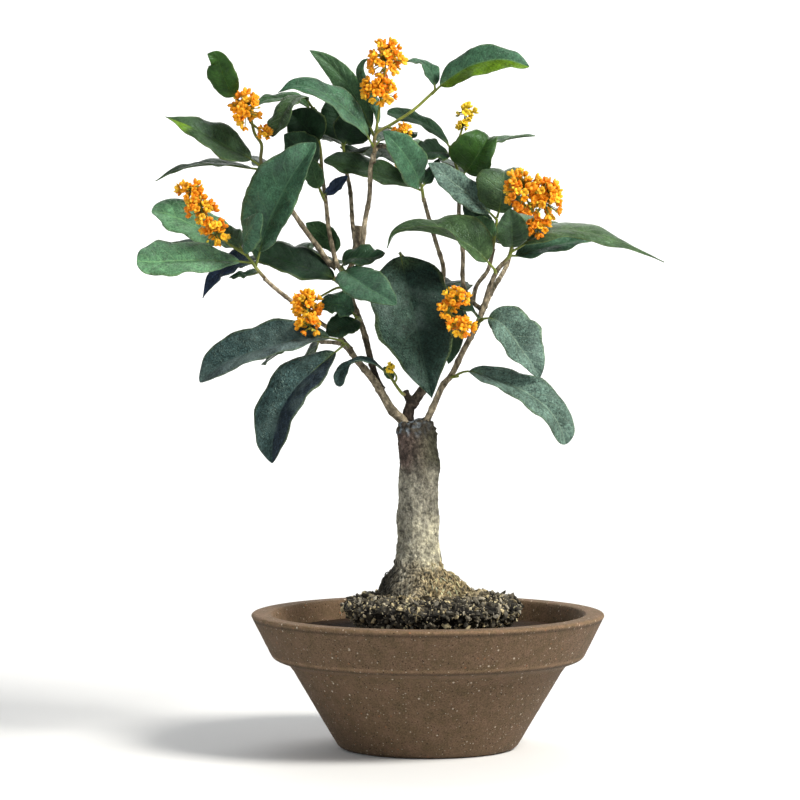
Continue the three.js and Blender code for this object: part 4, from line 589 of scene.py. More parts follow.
# %% Piece
class Piece:
    """Gathers points in mm, faces, tints and places on a blade, and becomes one mesh."""

    def __init__(self):
        self.points = []
        self.faces = []
        self.tints = []
        self.places = []
        self.count = 0

    def add(self, points, face_blocks, tint, places=None):
        points = np.asarray(points, float)
        for block in face_blocks:
            self.faces.extend((np.asarray(block) + self.count).tolist())
        self.points.append(points)
        self.tints.append(np.broadcast_to(np.asarray(tint, float), points.shape))
        self.places.append(np.zeros(points.shape) if places is None else places)
        self.count += len(points)

    def build(self, name, material, node, slot, smooth=True):
        mesh = bpy.data.meshes.new(name)
        points = np.concatenate(self.points) * MM
        mesh.from_pydata(points.tolist(), [], self.faces)
        mesh.polygons.foreach_set("use_smooth", [smooth] * len(mesh.polygons))
        tint = mesh.color_attributes.new("tint", "FLOAT_COLOR", "POINT")
        opaque = np.ones((self.count, 1))
        tint.data.foreach_set("color", np.hstack([np.concatenate(self.tints), opaque]).ravel())
        place = mesh.attributes.new("place", "FLOAT_VECTOR", "POINT")
        place.data.foreach_set("vector", np.concatenate(self.places).ravel())
        mesh.materials.append(material)
        return settle(bpy.data.objects.new(name, mesh), node)


def settle(shown, node):
    """Puts a finished object in the scene in place of a node of the solid model."""
    bpy.context.scene.collection.objects.link(shown)
    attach(shown, "root")
    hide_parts(node)
    return shown


print("pieces to make:", len(frame["nodes"]))

# %% [markdown]
# ## Curves and tubes
#
# Limbs, stalks and midribs all follow a smooth curve through their points. Blender's own curves
# could do it, but the blade of a leaf needs the points and directions of its midrib as numbers.

# %% Curves
CURVE_STEPS = 24


def follow(path, shares):
    """Points, directions and point numbers at shares of the length of a smooth curve."""
    path = np.array(path, float)
    ends = np.vstack([2 * path[0] - path[1], path, 2 * path[-1] - path[-2]])
    steps = np.sqrt(np.linalg.norm(np.diff(ends, axis=0), axis=1))
    knots = np.concatenate([[0], np.cumsum(steps)])
    spots = []
    for i in range(1, len(ends) - 2):
        # Between two points of the path, four points are blended pair by pair in three rounds.
        t = np.linspace(knots[i], knots[i + 1], CURVE_STEPS, endpoint=False)[:, None]
        layer = list(ends[i - 1:i + 3])
        for reach in (1, 2, 3):
            fresh = []
            for k in range(len(layer) - 1):
                low = i if reach == 3 else i - 1 + k
                high = i + 1 if reach == 3 else low + reach
                share = (t - knots[low]) / (knots[high] - knots[low])
                fresh.append(layer[k] * (1 - share) + layer[k + 1] * share)
            layer = fresh
        spots.append(layer[0])
    spots = np.vstack(spots + [path[-1:]])
    length = np.concatenate([[0], np.cumsum(np.linalg.norm(np.diff(spots, axis=0), axis=1))])
    length /= length[-1]

    def at(share):
        return np.stack([np.interp(share, length, spots[:, k]) for k in range(3)], axis=1)

    ahead = at(np.minimum(shares + 0.01, 1)) - at(np.maximum(shares - 0.01, 0))
    along = ahead / np.linalg.norm(ahead, axis=1)[:, None]
    place = np.interp(shares, length, np.linspace(0, 1, len(spots)))
    return at(shares), along, place


print("points on each stretch of a curve:", CURVE_STEPS)

# %% [markdown]
# A limb is round but never even. A tube carries its cross direction along the curve, so it bends
# without a twist, and its rings of points can swell into collars, knobs and ribs.


# %% Tubes
def tube(path, radii, sides, rows, swell=None):
    """Points and faces of a closed tube along a path. swell(angles, share) makes it uneven."""
    shares = np.linspace(0, 1, rows + 1)
    centres, along, place = follow(path, shares)
    radius = np.interp(place, np.linspace(0, 1, len(radii)), radii)
    angles = 2 * math.pi * np.arange(sides) / sides
    side = np.array([0.0, 1.0, 0.0])
    rings = []
    for centre, direction, r, share in zip(centres, along, radius, shares):
        side = side - direction * side.dot(direction)
        side /= np.linalg.norm(side)
        across = np.cross(side, direction)
        full = r * (1 if swell is None else swell(angles, share)) * np.ones(sides)
        sideways = np.outer(np.cos(angles) * full, side)
        rings.append(centre + sideways + np.outer(np.sin(angles) * full, across))
    index = np.arange((rows + 1) * sides).reshape(rows + 1, sides)
    return np.concatenate(rings), [ring_walls(index), index[:1], index[-1:, ::-1]]


def ring_walls(index):
    """The faces between the rings of a tube, from a table of point numbers with a row per ring."""
    around = np.roll(index, -1, axis=1)
    return np.stack([index[:-1], index[1:], around[1:], around[:-1]], axis=-1).reshape(-1, 4)


sample_points, sample_faces = tube(LIMBS["sawn_stub"][2], [1, 1], 6, 4)
print("a sample tube has", len(sample_points), "points and", len(sample_faces), "blocks of faces")

# %% [markdown]
# Nothing on a plant changes abruptly or repeats. These helpers fade one value into another, and
# give lumps that are smooth but never the same twice.


# %% Fades and lumps
def smooth_step(value, low, high):
    share = np.clip((value - low) / (high - low), 0, 1)
    return share * share * (3 - 2 * share)


def rough(x, y, z, size, shift=0.0):
    """Smooth noise between about -1 and 1, whose lumps are size mm wide."""
    return noise.noise(Vector((x / size + shift, y / size, z / size)))


def mix(first, second, share):
    return np.array(first) * (1 - share) + np.array(second) * share


def length_of(path):
    return sum(math.dist(a, b) for a, b in zip(path, path[1:]))


print("a fade at three places:", [round(float(smooth_step(at, 0, 1)), 2) for at in (0.25, 0.5, 0.75)])

# %% [markdown]
# ## Materials
#
# Each material is a plain glossy or rough surface whose colour comes from the tint of the mesh
# and from noise in the object's own space. A painted picture would have to be unwrapped over each
# leaf, and noise in space needs no unwrapping. Fine grain goes into a small bump, and on the leaves
# into the roughness too. These helpers add one shader node each.


# %% Shader nodes
# The colour sockets of a Mix node, by number, because several of its sockets share a name.
COLOUR_INPUTS = (6, 7)
COLOUR_OUTPUT = 2


def add_node(tree, kind, inputs=None, **settings):
    """Adds a shader node, sets its options and links or sets its inputs."""
    item = tree.nodes.new(kind)
    for key, value in settings.items():
        setattr(item, key, value)
    for key, value in (inputs or {}).items():
        if isinstance(value, bpy.types.NodeSocket):
            tree.links.new(value, item.inputs[key])
        else:
            item.inputs[key].default_value = value
    return item


def new_material(name, roughness, gloss=0.5):
    material = bpy.data.materials.new(name)
    material.use_nodes = True
    tree = material.node_tree
    surface = tree.nodes["Principled BSDF"]
    surface.inputs["Roughness"].default_value = roughness
    surface.inputs["Specular IOR Level"].default_value = gloss
    return material, tree, surface


def ramp(tree, value, zero, one, low=0.0, high=1.0):
    """A straight ramp: low where value is at zero, high where it is at one."""
    made = add_node(tree, "ShaderNodeMapRange", {"Value": value, "From Min": zero, "From Max": one,
                                                 "To Min": low, "To Max": high})
    return made.outputs["Result"]


def maths(tree, operation, first, second=0.0):
    made = add_node(tree, "ShaderNodeMath", {0: first, 1: second}, operation=operation)
    return made.outputs["Value"]


def multiply(tree, first, *others):
    for other in others:
        first = maths(tree, "MULTIPLY", first, other)
    return first


def blend(tree, kind, share, first, second):
    made = add_node(tree, "ShaderNodeMix", {"Factor": share}, data_type="RGBA", blend_type=kind)
    for slot, value in zip(COLOUR_INPUTS, (first, second)):
        if isinstance(value, bpy.types.NodeSocket):
            tree.links.new(value, made.inputs[slot])
        else:
            made.inputs[slot].default_value = (*value, 1.0)
    return made.outputs[COLOUR_OUTPUT]


def bump(tree, surface, height, strength, distance):
    made = add_node(tree, "ShaderNodeBump", {"Height": height, "Strength": strength,
                                             "Distance": distance * MM})
    tree.links.new(made.outputs["Normal"], surface.inputs["Normal"])


def object_space(tree):
    return add_node(tree, "ShaderNodeTexCoord").outputs["Object"]


def attribute(tree, name, output):
    return add_node(tree, "ShaderNodeAttribute", attribute_name=name).outputs[output]


def grey(tree, shade):
    made = add_node(tree, "ShaderNodeCombineColor", {"Red": shade, "Green": shade, "Blue": shade})
    return made.outputs["Color"]


print("colour sockets of a Mix node:", COLOUR_INPUTS, COLOUR_OUTPUT)

# %% [markdown]
# Clay, bark and leaves are mottled, speckled and netted. Noise gives the mottling. A random grid
# of cells gives both of the others: spots at the middles of its cells, or a net of their edges.


# %% Mottling, speckles and nets
def noise_of(tree, space, scale, detail=3.0, roughness=0.55):
    made = add_node(tree, "ShaderNodeTexNoise", {"Vector": space, "Scale": scale, "Detail": detail,
                                                 "Roughness": roughness})
    return made.outputs["Fac"]


def mottled(tree, space, scale, detail, roughness, between, out=(0.0, 1.0)):
    """Runs over the range out while the noise itself runs over the range between."""
    return ramp(tree, noise_of(tree, space, scale, detail, roughness), *between, *out)


def spots_of(tree, space, scale, size, rare):
    """1 inside small round spots, one in some of the cells of a random grid, and 0 elsewhere."""
    cells = add_node(tree, "ShaderNodeTexVoronoi", {"Vector": space, "Scale": scale})
    near = ramp(tree, cells.outputs["Distance"], size, size * 0.6)
    channels = add_node(tree, "ShaderNodeSeparateColor", {"Color": cells.outputs["Color"]})
    chosen = ramp(tree, channels.outputs["Red"], rare, rare + 0.02)
    return maths(tree, "MULTIPLY", near, chosen)


def net_of(tree, space, scale, narrow, wide):
    """0 on the lines of a random net, up to narrow from them, and 1 in its meshes, beyond wide."""
    cells = add_node(tree, "ShaderNodeTexVoronoi", {"Vector": space, "Scale": scale},
                     feature="DISTANCE_TO_EDGE")
    return ramp(tree, cells.outputs["Distance"], narrow, wide)


print("materials of the solid model:", len(bpy.data.materials))

# %% [markdown]
# The stoneware is unglazed and speckled: pale grog and dark iron spots show in a brown body.
# The speckles are in the clay itself, so they are coloured spots and hardly raised. The mesh's
# tint adds painted highlights and painted shadow lines on the edges, and painted light on the lip
# and on the inside wall.

# %% Stoneware
CLAY = ((0.098, 0.066, 0.032), (0.158, 0.096, 0.058))
SPECKS = [
    # scale, size, rarity, colour
    (300, 0.20, 0.66, (0.026, 0.015, 0.008)),
    (450, 0.24, 0.72, (0.030, 0.018, 0.010)),
    (240, 0.19, 0.84, (0.230, 0.098, 0.046)),
    (260, 0.19, 0.78, (0.330, 0.265, 0.195)),
    (170, 0.15, 0.74, (0.470, 0.390, 0.300)),
    (520, 0.22, 0.80, (0.400, 0.330, 0.250)),
]
CLOUD_SCALE = 130
SAND_SCALE = 900
SAND_SHADES = (0.52, 1.42)


def make_stoneware():
    material, tree, surface = new_material("stoneware", 0.8, 0.3)
    space = object_space(tree)
    clouds = mottled(tree, space, CLOUD_SCALE, 4.0, 0.7, (0.3, 0.7))
    body = blend(tree, "MIX", clouds, *CLAY)
    sand = mottled(tree, space, SAND_SCALE, 4.0, 0.75, (0.32, 0.7))
    body = blend(tree, "MULTIPLY", 1.0, body, grey(tree, ramp(tree, sand, 0.0, 1.0, *SAND_SHADES)))
    for scale, size, rare, colour in SPECKS:
        body = blend(tree, "MIX", spots_of(tree, space, scale, size, rare), body, colour)
    body = blend(tree, "MULTIPLY", 1.0, body, attribute(tree, "tint", "Color"))
    tree.links.new(body, surface.inputs["Base Color"])
    bump(tree, surface, sand, 0.5, 0.4)
    return material


stoneware = make_stoneware()
print("nodes in the stoneware:", len(stoneware.node_tree.nodes))

# %% [markdown]
# Soil and petals are tinted point by point on the mesh, so they need only a fine grain here. The
# plastic of the netting is plain, as nobody sees it under the soil.


# %% Grainy materials
def make_grainy(name, roughness, gloss, scale, contrast, height):
    material, tree, surface = new_material(name, roughness, gloss)
    space = object_space(tree)
    grain = noise_of(tree, space, scale, 5.0, 0.65)
    shade = grey(tree, ramp(tree, grain, 0.3, 0.7, 1 - contrast, 1 + contrast))
    colour = blend(tree, "MULTIPLY", 1.0, attribute(tree, "tint", "Color"), shade)
    tree.links.new(colour, surface.inputs["Base Color"])
    bump(tree, surface, grain, 0.6, height)
    return material


soil_material = make_grainy("soil", 1.0, 0.15, 1500, 0.4, 0.4)
petal = make_grainy("petal", 0.5, 0.3, 1200, 0.08, 0.08)
netting, _, netting_surface = new_material("netting", 0.6)
netting_surface.inputs["Base Color"].default_value = (0.020, 0.024, 0.020, 1)
print("materials:", [made.name for made in bpy.data.materials])

# %% [markdown]
# Old bark is a net of corky ridges round darker pits, dark partly in the bark's own colour and
# partly as painted shade in the hollows. The net is drawn out upwards and bent by noise, so that no
# mesh of it is straight. It comes in patches, and it fades where the third number of a point's
# place is 0, on the smooth young limbs.

# %% Bark material
BARK_STRETCH = (1, 1, 0.7)
DRIFT_SCALE = 220
DRIFT = 0.013
NET_SCALE = 270
PATCH_SCALE = 110
BLOTCH_SCALE = 190
CRUMB_SCALE = 430
CORK_SCALE = 1300
PIT_SHADES = (1.14, 0.50)
CORK_SHADES = (0.62, 1.42)
BLOTCH_SHADES = (0.58, 1.36)
CRUMB_SHADES = (0.55, 1.50)


def bark_pits(tree, space):
    """1 in the pits of the bark and 0 on its ridges and on smooth wood."""
    drift = add_node(tree, "ShaderNodeTexNoise", {"Vector": space, "Scale": DRIFT_SCALE, "Detail": 3.0})
    warped = add_node(tree, "ShaderNodeVectorMath",
                      {0: drift.outputs["Color"], 1: (DRIFT, DRIFT, DRIFT), 2: space},
                      operation="MULTIPLY_ADD")
    net = net_of(tree, warped.outputs["Vector"], NET_SCALE, 0.05, 0.34)
    place = add_node(tree, "ShaderNodeSeparateXYZ", {"Vector": attribute(tree, "place", "Vector")})
    patchy = mottled(tree, space, PATCH_SCALE, 3.0, 0.55, (0.40, 0.62), (0.20, 1.0))
    return multiply(tree, net, place.outputs["Z"], patchy)


def make_bark():
    material, tree, surface = new_material("bark", 0.9, 0.2)
    stretch = add_node(tree, "ShaderNodeVectorMath", {0: object_space(tree), 1: BARK_STRETCH},
                       operation="MULTIPLY")
    space = stretch.outputs["Vector"]
    pits = bark_pits(tree, space)
    cork = noise_of(tree, space, CORK_SCALE, 5.0, 0.7)
    blotches = mottled(tree, space, BLOTCH_SCALE, 3.0, 0.6, (0.32, 0.68), BLOTCH_SHADES)
    crumbs = mottled(tree, space, CRUMB_SCALE, 4.0, 0.7, (0.34, 0.66), CRUMB_SHADES)
    # the pits are darker, partly in the bark's own colour and partly as painted shade
    shade = multiply(tree, ramp(tree, pits, 0.0, 1.0, *PIT_SHADES),
                     ramp(tree, cork, 0.3, 0.7, *CORK_SHADES), blotches, crumbs)
    colour = blend(tree, "MULTIPLY", 1.0, attribute(tree, "tint", "Color"), grey(tree, shade))
    tree.links.new(colour, surface.inputs["Base Color"])
    bump(tree, surface, maths(tree, "SUBTRACT", maths(tree, "ADD", cork, crumbs), pits), 0.8, 0.6)
    return material


bark = make_bark()
print("nodes in the bark:", len(bark.node_tree.nodes))

# %% [markdown]
# A leaf is leathery, dark and half glossy. Its midrib is a thin paler line, and side veins leave
# it at a slant. Between the veins the blade is finely netted, which breaks up the shine of an old
# leaf, and old leaves also carry dust, whose pale patches are also a painted sheen. A point's place
# on its blade gives all of this a hold: the first number is the place across, from -1 to 1, the
# second the share of the length, and the third how old and rough the leaf is.

# %% Leaf material
VEIN_COUNT = 10
VEIN_SLANT = 1.9
VEIN_WIDTH = 0.075
VEIN_WANDER = 0.7
MIDRIB_EDGE = (0.012, 0.045)
MARK_TINT = (2.6, 2.2, 2.0)
LEAF_SHINE = (0.6, 0.85, 0.7)
PATCH_SHADES = (0.48, 1.58)
DUST_AND_SHEEN_COLOUR = (0.20, 0.28, 0.25)
DUST_AND_SHEEN_COVER = 0.6
DARK_GREEN = (0.015, 0.060)
DARK_ROUGHER = 0.30


def by_age(tree, age, young, old):
    return ramp(tree, age, 0.0, 1.0, young, old)


def leaf_marks(tree, space, place, age):
    """1 on the side veins alone, and how pale the veins and the midrib are."""
    across = maths(tree, "ABSOLUTE", place.outputs["X"])
    along = maths(tree, "MULTIPLY", place.outputs["Y"], VEIN_COUNT)
    slant = maths(tree, "MULTIPLY", across, VEIN_SLANT)
    wander = maths(tree, "MULTIPLY", noise_of(tree, space, 120, 1.0), VEIN_WANDER)
    phase = maths(tree, "ADD", maths(tree, "SUBTRACT", along, slant), wander)
    vein = ramp(tree, maths(tree, "PINGPONG", phase, 0.5), 0.0, VEIN_WIDTH, 1.0, 0.0)
    vein = maths(tree, "MULTIPLY", vein, ramp(tree, across, 0.5, 0.95, 1.0, 0.0))
    midrib = ramp(tree, across, *MIDRIB_EDGE, 1.0, 0.0)
    marks = maths(tree, "MAXIMUM", maths(tree, "MULTIPLY", vein, by_age(tree, age, 0.28, 0.42)),
                  maths(tree, "MULTIPLY", midrib, 0.55))
    on_blade = ramp(tree, place.outputs["Y"], 0.0, 0.05)
    return vein, maths(tree, "MULTIPLY", marks, on_blade)


def leaf_colour(tree, space, age, tint, marks):
    """The tint with patches and mottle, pale marks, and pale patches of dust and painted sheen on the old
    leaves.
    """
    patches = mottled(tree, space, 80, 4.0, 0.65, (0.3, 0.7), PATCH_SHADES)
    mottle = mottled(tree, space, 700, 4.0, 0.7, (0.3, 0.7))
    deep = maths(tree, "MULTIPLY", maths(tree, "ADD", age, 0.35), maths(tree, "SUBTRACT", mottle, 0.5))
    mottle = maths(tree, "ADD", 1.0, maths(tree, "MULTIPLY", deep, 1.5))
    shade = maths(tree, "MULTIPLY", patches, mottle)
    colour = blend(tree, "MULTIPLY", 1.0, tint, grey(tree, shade))
    colour = blend(tree, "MIX", marks, colour, blend(tree, "MULTIPLY", 1.0, tint, MARK_TINT))
    # pale patches on old leaves: dust, and also a painted sheen
    drifts = mottled(tree, space, 30, 2.0, 0.55, (0.47, 0.64))
    dust_and_sheen = multiply(tree, drifts, mottled(tree, space, 420, 4.0, 0.7, (0.25, 0.75)), age, DUST_AND_SHEEN_COVER)
    return blend(tree, "MIX", dust_and_sheen, colour, DUST_AND_SHEEN_COLOUR)


def make_leaf_material():
    material, tree, surface = new_material("leaf", 0.38, 0.26)
    surface.inputs["Specular Tint"].default_value = (*LEAF_SHINE, 1)
    space = object_space(tree)
    tint = attribute(tree, "tint", "Color")
    place = add_node(tree, "ShaderNodeSeparateXYZ", {"Vector": attribute(tree, "place", "Vector")})
    age = place.outputs["Z"]
    vein, marks = leaf_marks(tree, space, place, age)
    tree.links.new(leaf_colour(tree, space, age, tint, marks), surface.inputs["Base Color"])
    gloss = mottled(tree, space, 260, 3.0, 0.55, (0.3, 0.7), (0.26, 0.44))
    channels = add_node(tree, "ShaderNodeSeparateColor", {"Color": tint})
    matt = ramp(tree, channels.outputs["Green"], *DARK_GREEN, DARK_ROUGHER, 0.0)
    tree.links.new(maths(tree, "ADD", gloss, matt), surface.inputs["Roughness"])
    cells = maths(tree, "MULTIPLY", net_of(tree, space, 620, 0.0, 0.22), by_age(tree, age, 0.25, 1.0))
    relief = maths(tree, "SUBTRACT", cells, maths(tree, "MULTIPLY", vein, 0.8))
    lumps = maths(tree, "MULTIPLY", noise_of(tree, space, 130, 3.0, 0.5), by_age(tree, age, 1.5, 5.0))
    bump(tree, surface, maths(tree, "ADD", relief, lumps), 0.6, 0.5)
    return material


leaf_material = make_leaf_material()
print("nodes in the leaf material:", len(leaf_material.node_tree.nodes))

# %% [markdown]
# ## The bowl
#
# The bowl is a thick-walled cone with a heavy band below the rim. It was turned, so its outline is
# swept round the axis, much as Blender's Screw modifier would do. The points are made here, since
# each one can then stand a little out of true. First come the outline and its worn corners.

# %% Outline of the bowl
BAND_EDGE = (110.3, 66)
RIM_EDGE = (RIM_RADIUS, RIM_HEIGHT - 1.5)
LIP_INSIDE = RIM_RADIUS - LIP_WIDTH
BOWL_OUTLINE = [
    (0, 0), (BASE_RADIUS - 5, 0), (BASE_RADIUS - 1, 1.6), (BASE_RADIUS + 1.4, 5.5), (92, 50.5),
    (94.4, 54.6), (98.4, BAND_FOOT_HEIGHT + 1.2), (104.5, 61.8), (108.6, 63.6), BAND_EDGE,
    (RIM_RADIUS - 1, RIM_HEIGHT - 3.5), RIM_EDGE, (RIM_RADIUS - 1.5, RIM_HEIGHT),
    (LIP_INSIDE + 1, RIM_HEIGHT), (LIP_INSIDE - 0.5, RIM_HEIGHT - 1.5), (102, 72), (84, 54),
    (56, FLOOR_THICKNESS), (0, FLOOR_THICKNESS),
]
PROFILE_STEP = 1.8
CORNER_CUT = 0.9
LONG_RUN = 8


def soften(outline):
    """Cuts each corner a little way back, so that it reads as rounded."""
    soft = [outline[0]]
    for before, corner, after in zip(outline, outline[1:], outline[2:]):
        for other in (before, after):
            reach = min(CORNER_CUT, 0.25 * math.dist(corner, other)) / math.dist(corner, other)
            soft.append(tuple(c + reach * (o - c) for c, o in zip(corner, other)))
    return soft + [outline[-1]]


def spaced(outline, step):
    """Adds points along an outline, closer together on its short runs."""
    points = []
    for start, end in zip(outline, outline[1:]):
        length = math.dist(start, end)
        count = max(1, round(length / (step if length > LONG_RUN else 0.45 * step)))
        points += [tuple(s + (e - s) * i / count for s, e in zip(start, end)) for i in range(count)]
    return points + [outline[-1]]


bowl_profile = spaced(soften(soften(BOWL_OUTLINE)), PROFILE_STEP)[1:-1]
print("points on the outline of the bowl:", len(bowl_profile))

# %% [markdown]
# The edges of the rim and of the band carry a painted highlight, with a painted shadow line below
# each. The top of the lip and the inside of the wall are painted paler than the rest, as painted
# light. This painted light is tied to places on the outline, so it goes into the tint of each ring
# of points.

# %% Painted light on the bowl
EDGE_HIGHLIGHT = 0.55
EDGE_SHADOW = 0.45
LINE_WIDTH = 0.9
EDGE_SHADOW_DROP = 2.4
EDGE_REACH = 6
LIP_LIGHT = 0.35
INSIDE_LIGHT = 0.42
INSIDE_FOOT = 74


def painted_clay_light(radius, height):
    """How bright the painted light makes the clay at a point of the outline, where 1 is plain clay."""
    shades = [1.0]
    for edge_radius, edge_height in (RIM_EDGE, BAND_EDGE):
        rise = height - edge_height
        near = abs(radius - edge_radius) < EDGE_REACH
        # a painted highlight on the edge, and a painted shadow line below it
        highlight = EDGE_HIGHLIGHT * math.exp(-(rise / LINE_WIDTH) ** 2)
        shadow_line = EDGE_SHADOW * math.exp(-((rise + EDGE_SHADOW_DROP) / LINE_WIDTH) ** 2)
        shades.append(1 + near * (highlight - shadow_line))
    # painted light on the top of the lip and on the inside of the wall
    lip = float(smooth_step(height, RIM_HEIGHT - 1.6, RIM_HEIGHT - 0.4))
    inside = radius < LIP_INSIDE + 1 and INSIDE_FOOT < height < RIM_HEIGHT - 1
    return math.prod(shades) * (1 + LIP_LIGHT * lip + INSIDE_LIGHT * inside)


print("brightness of the rim's edge:", round(painted_clay_light(*RIM_EDGE), 2))

# %% [markdown]
# Now the outline is swept round. Slow noise puts the wall a little out of true, and noise that
# changes fast with the height leaves the faint rings of the turning. The drain holes are drilled
# last, as a potter would do.

# %% Bowl
BOWL_SECTORS = 220
DRAIN_SIDES = 32
OUT_OF_TRUE = 0.30
TURNING_RINGS = 0.14


def make_bowl(outline):
    points = [(0, 0, outline[0][1])]
    # the painted highlights, shadow lines and light of the outline, ring by ring
    shades = [1] + [painted_clay_light(*spot) for spot in outline for _ in range(BOWL_SECTORS)] + [1]
    for radius, height in outline:
        for i in range(BOWL_SECTORS):
            angle = 2 * math.pi * i / BOWL_SECTORS
            x, y = math.cos(angle), math.sin(angle)
            sway = noise.noise(Vector((1.5 * x, 1.5 * y, height / 40)))
            rings = noise.noise(Vector((0.3 * x, 0.3 * y, height / 2.2)))
            r = radius + (OUT_OF_TRUE * sway + TURNING_RINGS * rings) * min(1, radius / 50)
            points.append((r * x, r * y, height))
    points.append((0, 0, outline[-1][1]))
    ring = 1 + np.arange(len(outline) * BOWL_SECTORS).reshape(-1, BOWL_SECTORS)
    around = np.roll(ring, -1, axis=1)
    foot = np.stack([np.zeros_like(ring[0]), around[0], ring[0]], axis=-1)
    top = np.stack([np.full_like(ring[0], len(points) - 1), ring[-1], around[-1]], axis=-1)
    piece = Piece()
    tints = np.outer(shades, np.ones(3))
    piece.add(points, [ring_walls(ring)[:, ::-1], foot, top], tints)
    shown = piece.build("bowl_stoneware", stoneware, "bowl", "stoneware")
    for x in (-DRAIN_OFFSET, DRAIN_OFFSET):
        drill(shown, x)
    return shown


def drill(shown, x):
    """Cuts one drain hole through the bowl's floor."""
    points, faces = tube([(x, 0, -10), (x, 0, 15), (x, 0, 30)], [DRAIN_RADIUS] * 3, DRAIN_SIDES, 2)
    mesh = bpy.data.meshes.new("drill")
    mesh.from_pydata((points * MM).tolist(), [], [face for block in faces for face in block.tolist()])
    tool = bpy.data.objects.new("drill", mesh)
    bpy.context.scene.collection.objects.link(tool)
    cut = shown.modifiers.new("drain", "BOOLEAN")
    cut.object = tool
    cut.operation = "DIFFERENCE"
    cut.solver = "EXACT"
    apply_modifiers(shown)
    bpy.data.objects.remove(tool)


def apply_modifiers(shown):
    graph = bpy.context.evaluated_depsgraph_get()
    graph.update()
    finished = bpy.data.meshes.new_from_object(shown.evaluated_get(graph))
    shown.modifiers.clear()
    shown.data = finished


bowl = make_bowl(bowl_profile)
print("bowl faces:", len(bowl.data.polygons))

# %% [markdown]
# ## The netting
#
# A square of plastic net lies over each drain hole and keeps the soil in. It is cut from a sheet
# of crossed strands. A Wireframe modifier on a grid would make one too, but straight tubes lie
# flat and stay simple.

# %% Netting
STRANDS = 10
STRAND_RADIUS = 0.5
STRAND_SIDES = 6
NET_LIFT = 0.9


def make_netting(x, node):
    piece = Piece()
    height = FLOOR_THICKNESS + NET_LIFT
    half = NET_SIZE / 2 - STRAND_RADIUS
    for place in np.linspace(-half, half, STRANDS):
        across = [(x - half, place, height), (x, place, height), (x + half, place, height)]
        along = [(x + place, -half, height), (x + place, 0, height), (x + place, half, height)]
        for path in (across, along):
            points, faces = tube(path, [STRAND_RADIUS] * 3, STRAND_SIDES, 2)
            piece.add(points, faces, (1, 1, 1))
    return piece.build(node + "_net", netting, node, "mesh")


for offset, node in ((-DRAIN_OFFSET, "drain_mesh_left"), (DRAIN_OFFSET, "drain_mesh_right")):
    make_netting(offset, node)
print("netting strands:", 4 * STRANDS)

# %% [markdown]
# ## The soil
#
# The tree stands in its old root ball: black, crumbly and full of fibres. It keeps the shape of
# its last pot and is widest near the top. A ball of displaced grains could be sculpted, but clods
# follow a rule well enough: cells of random size, with finer lumps on top. First come the shape
# of the bare ball and the rules for its clods and colours.

# %% Root ball
CLOD = 4.6


def ball_points(shares, angles):
    """Points of the bare root ball at shares of the way from its middle to its lowest edge."""
    reach = np.array([0] + [r for r, _ in BALL_OUTLINE])
    height = BALL_TOP + np.array([0] + [drop for _, drop in BALL_OUTLINE])
    length = np.concatenate([[0], np.cumsum(np.hypot(np.diff(reach * BALL_REACH[0]), np.diff(height)))])
    r = np.interp(shares, length / length[-1], reach)
    z = np.interp(shares, length / length[-1], height)
    x = BALL_CENTRE[0] + r * BALL_REACH[0] * np.cos(angles)
    y = BALL_CENTRE[1] + r * BALL_REACH[1] * np.sin(angles)
    return np.stack([x, y, z + 0 * x], axis=-1)


def clod_relief(x, y, z):
    """How far the root ball's clods and grains stand out, in mm."""
    near = noise.voronoi(Vector((x / CLOD, y / CLOD, z / CLOD)))[0]
    clods = 2.4 * (0.45 - near[0]) + 0.8 * min(0.5, near[1] - near[0])
    return clods + 1.3 * rough(x, y, z, 11) + 0.8 * rough(x, y, z, 2.0) + 0.45 * rough(x, y, z, 1.0)


def slopes(grid):
    """The outward directions of a grid of points with a row per ring."""
    down = np.gradient(grid, axis=0)
    around = np.roll(grid, -1, axis=1) - np.roll(grid, 1, axis=1)
    out = np.cross(down, around)
    return out / np.maximum(np.linalg.norm(out, axis=-1, keepdims=True), 1e-9)


def soil_tint(x, y, z, raised):
    """Black in the gaps between clods, where painted shade deepens the soil's dark colour, grey-brown on the
    clods, with tan fibre here and there.
    """
    # painted shade: the lower a point lies between the clods, the nearer it is to black
    clear_of_gap_shade = float(smooth_step(raised + 1.2 * rough(x, y, z, 7, 3), -0.6, 1.8))
    tint = mix(SOIL_DARK, SOIL_GREY, 0.75 * clear_of_gap_shade)
    tan = float(smooth_step(rough(x, y, z, 1.7, 8) + 0.25 * rough(x, y, z, 14, 1), 0.28, 0.5))
    return mix(tint, FIBRE, 0.55 * tan * clear_of_gap_shade)


print("root ball:", 2 * BALL_REACH[0], "by", 2 * BALL_REACH[1], "mm, clods", CLOD, "mm")

# %% [markdown]
# Finer brown soil fills the bowl round the ball. Ball and fine soil are one closed sheet of rings,
# whose points are pushed out along its own slope. It is shaded flat, because grit has facets and
# smooth shading would make it look like mud. Crumbs and straw lie on it, and come next.

# %% Soil sheet
SOIL_SECTORS = 260
BALL_RINGS = 96
FINE_RINGS = 26
FINE_START = 66
DARKEST = 0.004


def fine_rings():
    """Radius, height and darkness of the rings of fine soil, from the ball outwards and down."""
    rings = []
    for i in range(FINE_RINGS + 1):
        share = i / FINE_RINGS
        rings.append((FINE_START + (SOIL_WALL - FINE_START) * share, SOIL_LEVEL, 0.55 - 0.5 * share))
    return rings + [(SOIL_WALL, SOIL_LEVEL - 10, 0), (83, 55, 0), (54, FLOOR_THICKNESS + 1.6, 0)]


